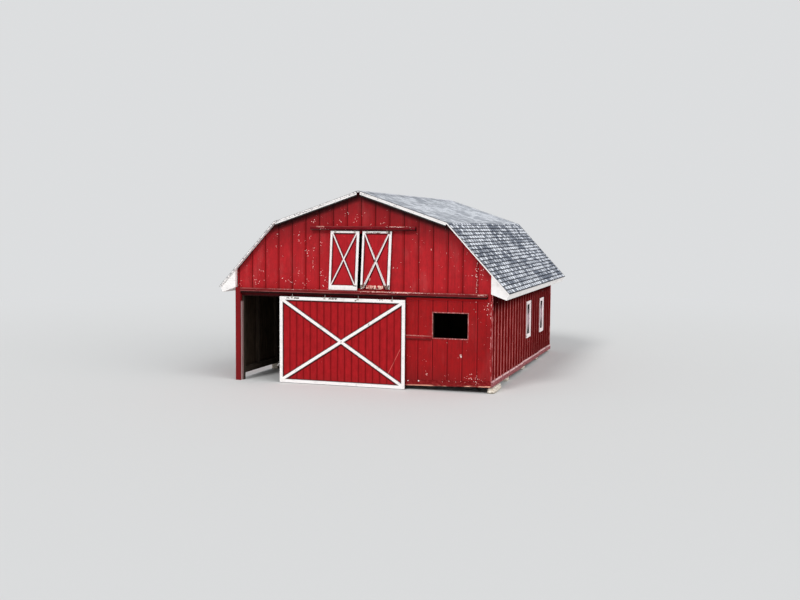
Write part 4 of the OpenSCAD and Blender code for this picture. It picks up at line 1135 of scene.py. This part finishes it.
# %% Finish of the stones
stone = Finish("field_stone", 0.85)
speck = stone.noise(90, 4.0, 0.7)
bed = stone.noise((9, 9, 28), 4.0, 0.6)
stone.colour = stone.lit(stone.blend(bed.ramp(0.35, 0.65), (206, 194, 178), (250, 242, 228)),
                         speck.ramp(0.2, 0.8, 0.82, 1.12))
stone.cover(stone.z.ramp(0.0, 0.06, 0.7, 0.0) * bed.ramp(0.3, 0.6), (112, 98, 82))
stones.data.materials.append(stone.done(speck, 0.004, 0.7))
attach(stones, "root")
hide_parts("footing_blocks")
print("stones have", len(stones.data.polygons), "faces")

# %% [markdown]
# ## Ridge cap
# The ridge is closed by shingles folded over it, each lapping the heel of the one before. One long
# folded strip would do from afar, but from the side the laps show as small steps. So one folded
# tab is drawn point by point, and a tree repeats it along the ridge.

# %% Ridge cap
CAP_STEP, CAP_LAP, CAP_T, CAP_LIFT, CAP_HEEL = 0.127, 0.03, 0.0042, 0.0050, 0.0006
HALF_FLAT = 0.010  # half the width of the cap's flat top
cap_low, cap_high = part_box("ridge_cap")


def folded_tab():
    """A cap shingle from Y = 0 back: a thin roof over the ridge, lifted at its front."""
    sheet = bmesh.new()
    xs = [share * (cap_high.x - 0.001) for share in (-1.0, -0.5, -0.06, 0.06, 0.5, 1.0)]
    rings = []
    for y, lift in ((0.0, CAP_LIFT), (CAP_STEP + CAP_LAP, CAP_HEEL)):
        for height in (lift, lift + CAP_T):
            top = height / math.cos(upper_lean)
            rings.append([sheet.verts.new((x, y, top - math.tan(upper_lean) * max(abs(x), HALF_FLAT)))
                          for x in xs])
    front_low, front_high, rear_low, rear_high = rings
    join_rings(sheet, front_low + front_high[::-1], rear_low + rear_high[::-1])
    for i in range(5):
        sheet.faces.new((front_low[i], front_low[i + 1], front_high[i + 1], front_high[i]))
        sheet.faces.new((rear_low[i + 1], rear_low[i], rear_high[i], rear_high[i + 1]))
    bmesh.ops.recalc_face_normals(sheet, faces=sheet.faces)
    return from_sheet("folded_tab", sheet)


cap_rule = Rule("cap_rule", {"Count": 80, "Step": CAP_STEP, "Start": -5.0, "Height": 5.3, "Seed": 3})
cap_count, cap_step, cap_start, cap_height, cap_seed = cap_rule.sizes
cap_place = cap_rule.vector(cap_rule.chance(-0.0006, 0.0006, cap_seed, cap_rule.index),
                            cap_start + cap_rule.index * cap_step, cap_height)
cap_rule.close(cap_rule.lay(cap_rule.points(cap_count, cap_place), cap_rule.size("Geometry")),
               cap_rule.chance(0.2, 1.0, cap_seed, cap_rule.index))
count = math.floor((cap_high.y - cap_low.y - CAP_LAP) / CAP_STEP)
caps = cap_rule.grow("ridge_shingles", folded_tab(),
                     shingle_finish("ridge_finish", (150, 154, 160), (206, 208, 214), 0.5, 0.0),
                     {"Count": count, "Start": cap_low.y, "Height": ridge_z, "Seed": 3})
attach(caps, "root")
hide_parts("ridge_cap")
print("cap shingles:", count)

# %% [markdown]
# ## Loft boards
# The loft is floored with boards that run along the barn, in three lengths end to end. A flat
# floor with painted lines would look thin through the gap between the leaves. So a tree lays
# real boards with real gaps, and varies their thickness by chance, as sawn boards vary.

# %% Loft boards
BOARD_W, LENGTHS = 0.14, 3
floor_low, floor_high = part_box("loft_floor")
board_rule = Rule("board_rule", {"Board": BOARD_W, "Gap": 0.003, "Length": 3.18, "Across": 50,
                                 "Along": 3, "Seed": 12})
board, gap, length, across, along, seed = board_rule.sizes
row = (board_rule.index + 0.5) // along
place = board_rule.vector(row * board, (board_rule.index - row * along) * length, 0.0)
thickness = board_rule.chance(0.86, 1.0, seed, board_rule.index)
boards_laid = board_rule.lay(
    board_rule.points(across * along, place), board_rule.size("Geometry"),
    Scale=board_rule.vector(board - gap, length - gap, thickness))
board_rule.close(boards_laid, board_rule.chance(0.0, 1.0, seed, board_rule.index))

floor_size = floor_high - floor_low
count = round(floor_size.x / BOARD_W)
plank = Finish("loft_planks", 0.8)
colour, grain = bare_wood(plank, "y", (96, 78, 58), (158, 136, 106))
plank.colour = plank.lit(colour, plank.attribute("tone").ramp(0.0, 1.0, 0.72, 1.15))
blank = prism([(0, 0), (1, 0), (1, 1), (0, 1)], floor_size.z)
boards = board_rule.grow("loft_boards", blank, plank.done(grain, 0.0012, 0.7), {
    "Board": floor_size.x / count, "Length": floor_size.y / LENGTHS, "Across": count, "Along": LENGTHS,
    "Seed": 12})
boards.data.transform(Matrix.Translation(floor_low))
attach(boards, "root")
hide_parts("loft_floor")
print("loft boards:", count * LENGTHS)

# %% [markdown]
# ## Small shapes at many places
# Flecks of lost paint, nails and bolt heads are all one small shape at many places. A bump could
# hint at them, but it would not be part of the meshes. One tree serves them all: it reads a place,
# a facing and a size from each vertex of a mesh, turns the shape to lie on the wall there, and
# varies its size by chance.

# %% Dots rule
DOT_SIZES = {"Least": 0.5, "Most": 1.0, "Spin": 0.3, "Depth": 0.0005, "Seed": 5}
DOT_MARKS = "facing", "size", "tall"
SPIN_SEED, TONE_SEED = 21, 8
FRONT, RIGHT, BACK, LEFT = 0.0, math.pi / 2, math.pi, -math.pi / 2
dots_rule = Rule("dots_rule", DOT_SIZES)
facing, size, tall = (dots_rule.attribute(label) for label in DOT_MARKS)
low, high, spin, depth, seed = dots_rule.sizes
dot_size = size * dots_rule.chance(low, high, seed, dots_rule.index)
dot_spin = dots_rule.chance(-spin, spin, SPIN_SEED, dots_rule.index)
dot_shape = dots_rule.node("GeometryNodeObjectInfo", {"Object": dots_rule.size("Shape")})
dots_rule.close(dots_rule.lay(dots_rule.size("Geometry"), dot_shape.outputs["Geometry"],
                              Rotation=dots_rule.vector(math.pi / 2, dot_spin, facing),
                              Scale=dots_rule.vector(dot_size, dot_size * tall, depth)),
                dots_rule.chance(0.0, 1.0, TONE_SEED, dots_rule.index))


def dots(name, places, shape, material, slot, body="root", **sizes):
    """Makes a piece from places (point, facing, size, tall)."""
    mesh = bpy.data.meshes.new(name + "_places")
    mesh.from_pydata([place[0] for place in places], [], [])
    for column, label in enumerate(DOT_MARKS, 1):
        store(mesh, label, [place[column] for place in places])
    piece = dots_rule.grow(name, mesh, material, {**DOT_SIZES, **sizes}, shape)
    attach(piece, body)
    print(name, "has", len(places), "copies")


def ring(radii):
    """Points on a circle, one for each radius."""
    step = 2 * math.pi / len(radii)
    return [(r * math.cos(i * step), r * math.sin(i * step)) for i, r in enumerate(radii)]


def ragged():
    """A flake of unit size: nine corners, none alike."""
    return prism(ring((1.0, 0.62, 0.93, 0.5, 0.85, 0.98, 0.55, 0.9, 0.68)), 1.0)


def dome():
    """A round head of unit size, in three rings."""
    sheet = bmesh.new()
    skin(sheet, *([sheet.verts.new((x, y, height)) for x, y in ring([radius] * 10)]
                  for radius, height in ((1.0, 0.0), (0.8, 0.6), (0.35, 1.0))))
    return from_sheet("dome", sheet)


# %% Where the front shows boards
BOARD_T, SKIRT_T, CORNER_W, RAKE_D, MARGIN, CLEAR = 0.019, 0.025, 0.126, 0.17, 0.02, 0.01
hood_low, hood_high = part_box("track_hood")
doorway_x = solids_of("siding_front")[1][0].x
front_skirt = min(skirt_solids, key=lambda box: box[0].y)


def batten_off(value, first):
    """Distance from the nearest batten line."""
    share = (value - first) / BATTEN_PITCH
    return abs(share - round(share)) * BATTEN_PITCH


def beside(boxes, axis, along, z):
    """Whether a place on a wall lies on any of these boxes or close beside it."""
    return any(low[axis] - MARGIN < along < high[axis] + MARGIN and low.z - MARGIN < z < high.z + MARGIN
               for low, high in boxes)


def behind(x, z, *nodes):
    """Whether a place on the front lies behind any of these pieces."""
    return beside([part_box(node) for node in nodes], 0, x, z)


def roof_z(x):
    """Height of the roof line over a place on an end wall."""
    side = abs(x)
    if side < knee[0]:
        return ridge_z - side * math.tan(upper_lean)
    return knee[1] - (side - knee[0]) * math.tan(lower_lean)


def front_plane(x, z):
    """Y of the outer face of the front at a place, or None where there is no board."""
    if abs(x) > wall_x - CLEAR or z > roof_z(x) - RAKE_D:
        return None
    on_batten = batten_off(x, BATTEN_X) < HALF_BATTEN
    if z > hood_high.z + CLEAR:
        return None if behind(x, z, "leaf_frames", "loft_hood") else front_y - BOARD_T * on_batten
    if z > hood_low.z - CLEAR or x < doorway_x + MARGIN:
        return None
    if behind(x, z, "front_window_edging", "ledger_board"):
        return None
    share = (x - doorway_x) / (wall_x - doorway_x)
    skirt_foot = front_skirt[0].z + share * (front_skirt[1].z - front_skirt[0].z - SKIRT_W)
    if z < skirt_foot + SKIRT_W:
        return front_y - SKIRT_T if z > skirt_foot + CLEAR else None
    return front_y - BOARD_T * (on_batten or x > wall_x - CORNER_W)


print("front skirt foot from", round(front_skirt[0].z, 3))

# %% [markdown]
# ## Flecks and flakes
# Paint has come off in small flecks that show pinkish primer, in clusters on the front and singly
# elsewhere, and in flakes along the hoods. Noise could scatter them, but the eye knows the real
# clusters. So the clusters are listed, and chance only spreads the flecks within them. Most places
# stand as the pixels that were read in an enlarged photo, and the camera that was solved above
# turns them into metres on the front. The others were moved or set in metres. A fleck is dropped
# where the front has no board.

# %% Clusters of flecks
PHOTO_W, PHOTO_H = 800, 600


def in_photo(column, row):
    """X and Z, to a centimetre, of the place on the front that the photo shows at a pixel."""
    scale = SENSOR / PHOTO_W
    sight = Vector(((column - PHOTO_W / 2) * scale, (PHOTO_H / 2 - row) * scale, -LENS))
    sight.rotate(turned(YAW, DIP, ROLL))
    place = Vector(CAMERA_PLACE) + sight * ((front_y - CAMERA_PLACE[1]) / sight.y)
    return round(place.x, 2), round(place.z, 2)


CLUSTERS = [  # place, half spread in X and Z, how many, largest half width
    (in_photo(313.8, 221.3), 0.05, 0.02, 6, 0.018), (in_photo(340, 221.3), 0.03, 0.03, 4, 0.016),
    ((-0.66, 4.40), 0.03, 0.02, 4, 0.014), (in_photo(354.4, 221.3), 0.03, 0.03, 4, 0.015),
    (in_photo(348.8, 213.5), 0.04, 0.02, 4, 0.013), (in_photo(343.8, 213.5), 0.02, 0.02, 3, 0.013),
    (in_photo(356.3, 216.3), 0.03, 0.03, 4, 0.013), (in_photo(363.8, 213.5), 0.02, 0.02, 3, 0.013),
    (in_photo(298.8, 237.5), 0.008, 0.07, 8, 0.015), (in_photo(310.6, 236.3), 0.02, 0.02, 4, 0.015),
    (in_photo(277.5, 236.3), 0.03, 0.03, 3, 0.013), (in_photo(260.6, 242.8), 0.03, 0.02, 3, 0.014),
    (in_photo(276.3, 246.9), 0.03, 0.03, 4, 0.013), (in_photo(308, 251.3), 0.04, 0.04, 7, 0.017),
    (in_photo(313.8, 248.8), 0.02, 0.03, 4, 0.015), (in_photo(320.6, 243.1), 0.02, 0.03, 4, 0.015),
    (in_photo(313.1, 265), 0.008, 0.07, 8, 0.014), (in_photo(261.3, 271), 0.04, 0.02, 5, 0.016),
    (in_photo(298.1, 271.9), 0.02, 0.03, 4, 0.015), (in_photo(257.5, 281.9), 0.07, 0.05, 11, 0.017),
    (in_photo(289.4, 281.3), 0.08, 0.05, 11, 0.018), (in_photo(304, 283.8), 0.03, 0.04, 6, 0.015),
    (in_photo(308.1, 281.9), 0.02, 0.03, 4, 0.014), (in_photo(321.3, 273.8), 0.04, 0.05, 7, 0.016),
    (in_photo(324.4, 278.1), 0.03, 0.04, 5, 0.014), ((-0.99, 2.78), 0.03, 0.05, 6, 0.015),
    ((-3.60, 2.71), 0.02, 0.04, 4, 0.015), ((0.63, 4.44), 0.04, 0.02, 4, 0.015),
    (in_photo(384.4, 221.9), 0.03, 0.02, 3, 0.014), ((0.31, 4.45), 0.03, 0.02, 3, 0.014),
    (in_photo(431.3, 249.4), 0.010, 0.012, 4, 0.022), (in_photo(466.3, 253.1), 0.02, 0.03, 3, 0.014),
    (in_photo(476.3, 263.8), 0.03, 0.03, 5, 0.015), (in_photo(477.5, 266.9), 0.02, 0.03, 4, 0.014),
    (in_photo(482.5, 272.5), 0.02, 0.05, 6, 0.015), (in_photo(482.5, 277.5), 0.02, 0.04, 4, 0.015),
    (in_photo(472.5, 274.4), 0.03, 0.03, 4, 0.014), ((1.02, 3.28), 0.04, 0.015, 4, 0.014),
    ((3.27, 3.00), 0.008, 0.28, 26, 0.013), ((3.27, 2.82), 0.008, 0.17, 26, 0.014),
    ((2.86, 0.97), 0.009, 0.012, 5, 0.030), ((1.90, 0.53), 0.006, 0.010, 3, 0.014),
    ((1.93, 0.45), 0.008, 0.012, 4, 0.018), ((3.17, 0.41), 0.05, 0.03, 8, 0.017),
    ((3.29, 0.43), 0.02, 0.08, 9, 0.016), ((3.60, 2.34), 0.03, 0.06, 8, 0.022),
    ((3.575, 2.22), 0.012, 0.05, 5, 0.018), (in_photo(491, 307), 0.008, 0.2, 8, 0.012),
    ((3.655, 1.1), 0.01, 0.9, 10, 0.008), ((3.0, 0.30), 0.3, 0.04, 12, 0.012),
    ((2.6, 0.42), 0.9, 0.03, 14, 0.008)]
print("clusters:", len(CLUSTERS))

# %% Flecks
KEPT, SPREAD, FLECK = 0.8, 1.3, 0.88  # shares of the clusters' counts, spreads and widths
LONE_FRONT, LONE_SIDES, LONE_BACK = 380, 160, 200
LOWEST_FRONT, LOWEST, HIGHEST_SIDE, FROM_CORNER, UNDER_RAKE = 0.25, 0.36, 2.5, 0.1, 0.2
draw = random.Random(31)
places = []
for (x, z), wide, high, count, size in CLUSTERS:
    for _ in range(round(count * KEPT)):
        at_x, at_z = draw.gauss(x, wide * SPREAD), draw.gauss(z, high * SPREAD)
        y = front_plane(at_x, at_z)
        if y is not None:
            places.append(((at_x, y, at_z), FRONT, size * FLECK, draw.uniform(0.8, 1.6)))
for _ in range(LONE_FRONT):
    x, z = draw.uniform(-wall_x, wall_x), draw.uniform(LOWEST_FRONT, ridge_z)
    y = front_plane(x, z)
    if y is not None:
        places.append(((x, y, z), FRONT, draw.uniform(0.003, 0.007), draw.uniform(1.0, 2.4)))
for _ in range(LONE_SIDES):
    y = draw.uniform(front_y + FROM_CORNER, back_y - FROM_CORNER)
    z = draw.uniform(LOWEST, HIGHEST_SIDE)
    facing = draw.choice((RIGHT, LEFT))
    if not beside(windows, 1, y, z):
        x = math.copysign(wall_x + BOARD_T * (batten_off(y, 0.0) < HALF_BATTEN), facing)
        places.append(((x, y, z), facing, draw.uniform(0.004, 0.011), draw.uniform(1.0, 2.6)))
for _ in range(LONE_BACK):
    x = draw.uniform(FROM_CORNER - wall_x, wall_x - FROM_CORNER)
    z = draw.uniform(LOWEST, ridge_z)
    if z < roof_z(x) - UNDER_RAKE:
        y = back_y + BOARD_T * (batten_off(x, BATTEN_X) < HALF_BATTEN or abs(x) > wall_x - CORNER_W)
        places.append(((x, y, z), BACK, draw.uniform(0.003, 0.009), draw.uniform(1.0, 2.6)))

fleck = Finish("bared_paint", 0.7)
fleck.colour = fleck.blend(fleck.attribute("tone"), (246, 160, 154), (255, 236, 230))
fleck.done(fleck.noise((70, 70, 30)), 0.0004, 0.5)
dots("flecks", places, ragged(), fleck.material, "front_red", Least=0.65, Spin=0.5, Depth=0.0004)

# %% Flakes on the hoods
HOOD_FLAKES = [  # middle X and Z, then as the clusters, with the hood that carries them
    (1.0, 2.618, 0.14, 0.008, 30, 0.022, "track_hood"), (1.6, 2.62, 0.45, 0.008, 64, 0.014, "track_hood"),
    (2.6, 2.622, 0.5, 0.006, 24, 0.010, "track_hood"), (3.45, 2.61, 0.09, 0.012, 14, 0.014, "track_hood"),
    (-2.1, 2.62, 0.5, 0.005, 30, 0.009, "track_hood"), (1.1, 4.366, 0.22, 0.008, 26, 0.014, "loft_hood"),
    (-1.07, 4.34, 0.09, 0.03, 10, 0.012, "loft_hood")]
places = []
for x, z, wide, tall, count, size, node in HOOD_FLAKES:
    low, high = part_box(node)
    for _ in range(count):
        at_x, at_z = draw.gauss(x, wide * 0.7), min(draw.gauss(z, tall), high.z - 0.004)
        if low.x + MARGIN < at_x < high.x - MARGIN:
            places.append(((at_x, low.y, at_z), FRONT, size, draw.uniform(0.4, 0.9)))
dots("flakes", places, ragged(), fleck.material, "front_red", Depth=0.0012)

# %% [markdown]
# ## Nails, bolts and guides
# Every batten, corner board and skirt board is nailed, the door's frame is nailed to its panel,
# and bolts hold the hangers. Two round guides by the skirt keep the door's foot from swinging. The
# places could be typed in, but they follow from the boards: evenly spaced along each, a little in
# from its edges. The same head, made flat or tall, serves for all.

# %% Nails
NAIL_STEP, SKIRT_NAIL_STEP, NAIL, SKIRT_NAIL, INSET = 0.55, 0.8, 0.0048, 0.006, 0.035
FIRST_NAIL, BOTH_ENDS, SHORTER, END_SHARE = 0.05, 0.14, 0.12, 0.02


def outer_face(low, high):
    """Facing of a board on a wall, the place of its outer face, and the axis along the wall."""
    if high.x - low.x < high.y - low.y:
        return (RIGHT, high.x, 1) if low.x > 0 else (LEFT, low.x, 1)
    return (FRONT, low.y, 0) if low.y < 0 else (BACK, high.y, 0)


places = []
for node in ("battens_sides", "battens_ends", "corner_boards"):
    for low, high in solids_of(node):
        facing, face, axis = outer_face(low, high)
        size, at = high - low, ((low + high) / 2)[axis]
        steps = max(2, round((size.z - SHORTER) / NAIL_STEP) + 1)
        for i in range(steps):
            z = low.z + FIRST_NAIL + (size.z - BOTH_ENDS) * i / (steps - 1)
            places.append(((face, at, z) if axis else (at, face, z), facing, NAIL, 1.0))
for low, high in skirt_solids:
    facing, face, axis = outer_face(low, high)
    size = high - low
    for i in range(round(size[axis] / SKIRT_NAIL_STEP) + 1):
        share = min(max(i * SKIRT_NAIL_STEP / size[axis], END_SHARE), 1 - END_SHARE)
        at = low[axis] + size[axis] * share
        for up in (INSET, SKIRT_W - INSET):
            z = low.z + (size.z - SKIRT_W) * (share if facing == FRONT else 1 - share) + up
            places.append(((face, at, z) if axis else (at, face, z), facing, SKIRT_NAIL, 1.0))
nail_finish = old_steel("nail_steel", (92, 22, 24), 0.1, 0.0)
dots("nails", places, dome(), nail_finish, "steel", Least=0.85, Spin=0.0, Depth=0.0014)

# %% Bolts, door nails and guides
BOLT, DOOR_NAIL, CROSSING_BOLT, EDGE = 0.008, 0.005, 0.016, 0.05
BOLT_HEIGHTS = 0.014, 0.034  # over the foot of a strap
places = [(((low.x + high.x) / 2, low.y, low.z + up), FRONT, BOLT, 1.0)
          for low, high in solids_of("door_hangers") for up in BOLT_HEIGHTS]
wide, tall = door_high.x - door_low.x, door_high.z - door_low.z
spots = [(door_low.x + EDGE + (wide - 2 * EDGE) * i / 8, z) for i in range(9) if i not in (1, 7)
         for z in (door_low.z + EDGE, door_high.z - EDGE)]
spots += [(x, door_low.z + tall * i / 6) for i in range(1, 6)
          for x in (door_low.x + EDGE, door_high.x - EDGE)]
for i in range(1, 9):
    x = door_low.x + FRAME_W + (wide - 2 * FRAME_W) * (i / 9)
    z = door_low.z + FRAME_W + (tall - 2 * FRAME_W) * (i / 9)
    spots += [(x, z), (x, door_low.z + door_high.z - z)]
places += [((x, door_low.y, z), FRONT, DOOR_NAIL, 1.0) for x, z in spots]
places.append(((door_mid, door_low.y, (door_low.z + door_high.z) / 2), FRONT, CROSSING_BOLT, 1.0))
dots("door_bolts", places, dome(), old_steel("bolt_steel", (176, 166, 158), 0.12), "steel", "sliding_door",
     Least=0.9, Spin=0.0, Depth=0.003)
GUIDES = (1.41, 0.242, 0.015), (1.71, 0.252, 0.020)  # X, Z and radius
guides = [((x, front_y - SKIRT_T, z), FRONT, size, 1.0) for x, z, size in GUIDES]
dots("door_guides", guides, dome(), white_paint("guide_white", along="z", dirt=0.2), "white_paint",
     Least=0.95, Spin=0.0, Depth=0.011)

# %% [markdown]
# ## Floor
# The barn stands on a wide pale floor, so that its shadow shows how it rests. The floor's far edge
# would draw a line across the picture, so from 9 m outwards it fades to the plain grey behind it.
# It is no part of the barn.

# %% Floor of the scene
REACH, FADE = 150, (9.0, 34.0)
floor_mesh = bpy.data.meshes.new("floor")
corners = [(x * REACH, y * REACH, 0) for x, y in ((-1, -1), (1, -1), (1, 1), (-1, 1))]
floor_mesh.from_pydata(corners, [], [(0, 1, 2, 3)])
floor = placed("floor", floor_mesh)
ground = Finish("floor_finish", 0.95)
ground.put(ground.shader.inputs["Base Color"], (0.72, 0.72, 0.71, 1))
far = (ground.x * ground.x + ground.y * ground.y).apply("SQRT").ramp(*FADE)
glow = ground.node("ShaderNodeEmission", {"Color": BACKDROP})
shaders = ground.shader.outputs[0], glow.outputs[0]
fading = ground.node("ShaderNodeMixShader", (far * ground.seen(), *shaders))
ground.put(ground.nodes["Material Output"].inputs["Surface"], fading.outputs[0])
floor_mesh.materials.append(ground.material)
print("floor reaches", REACH, "m each way")
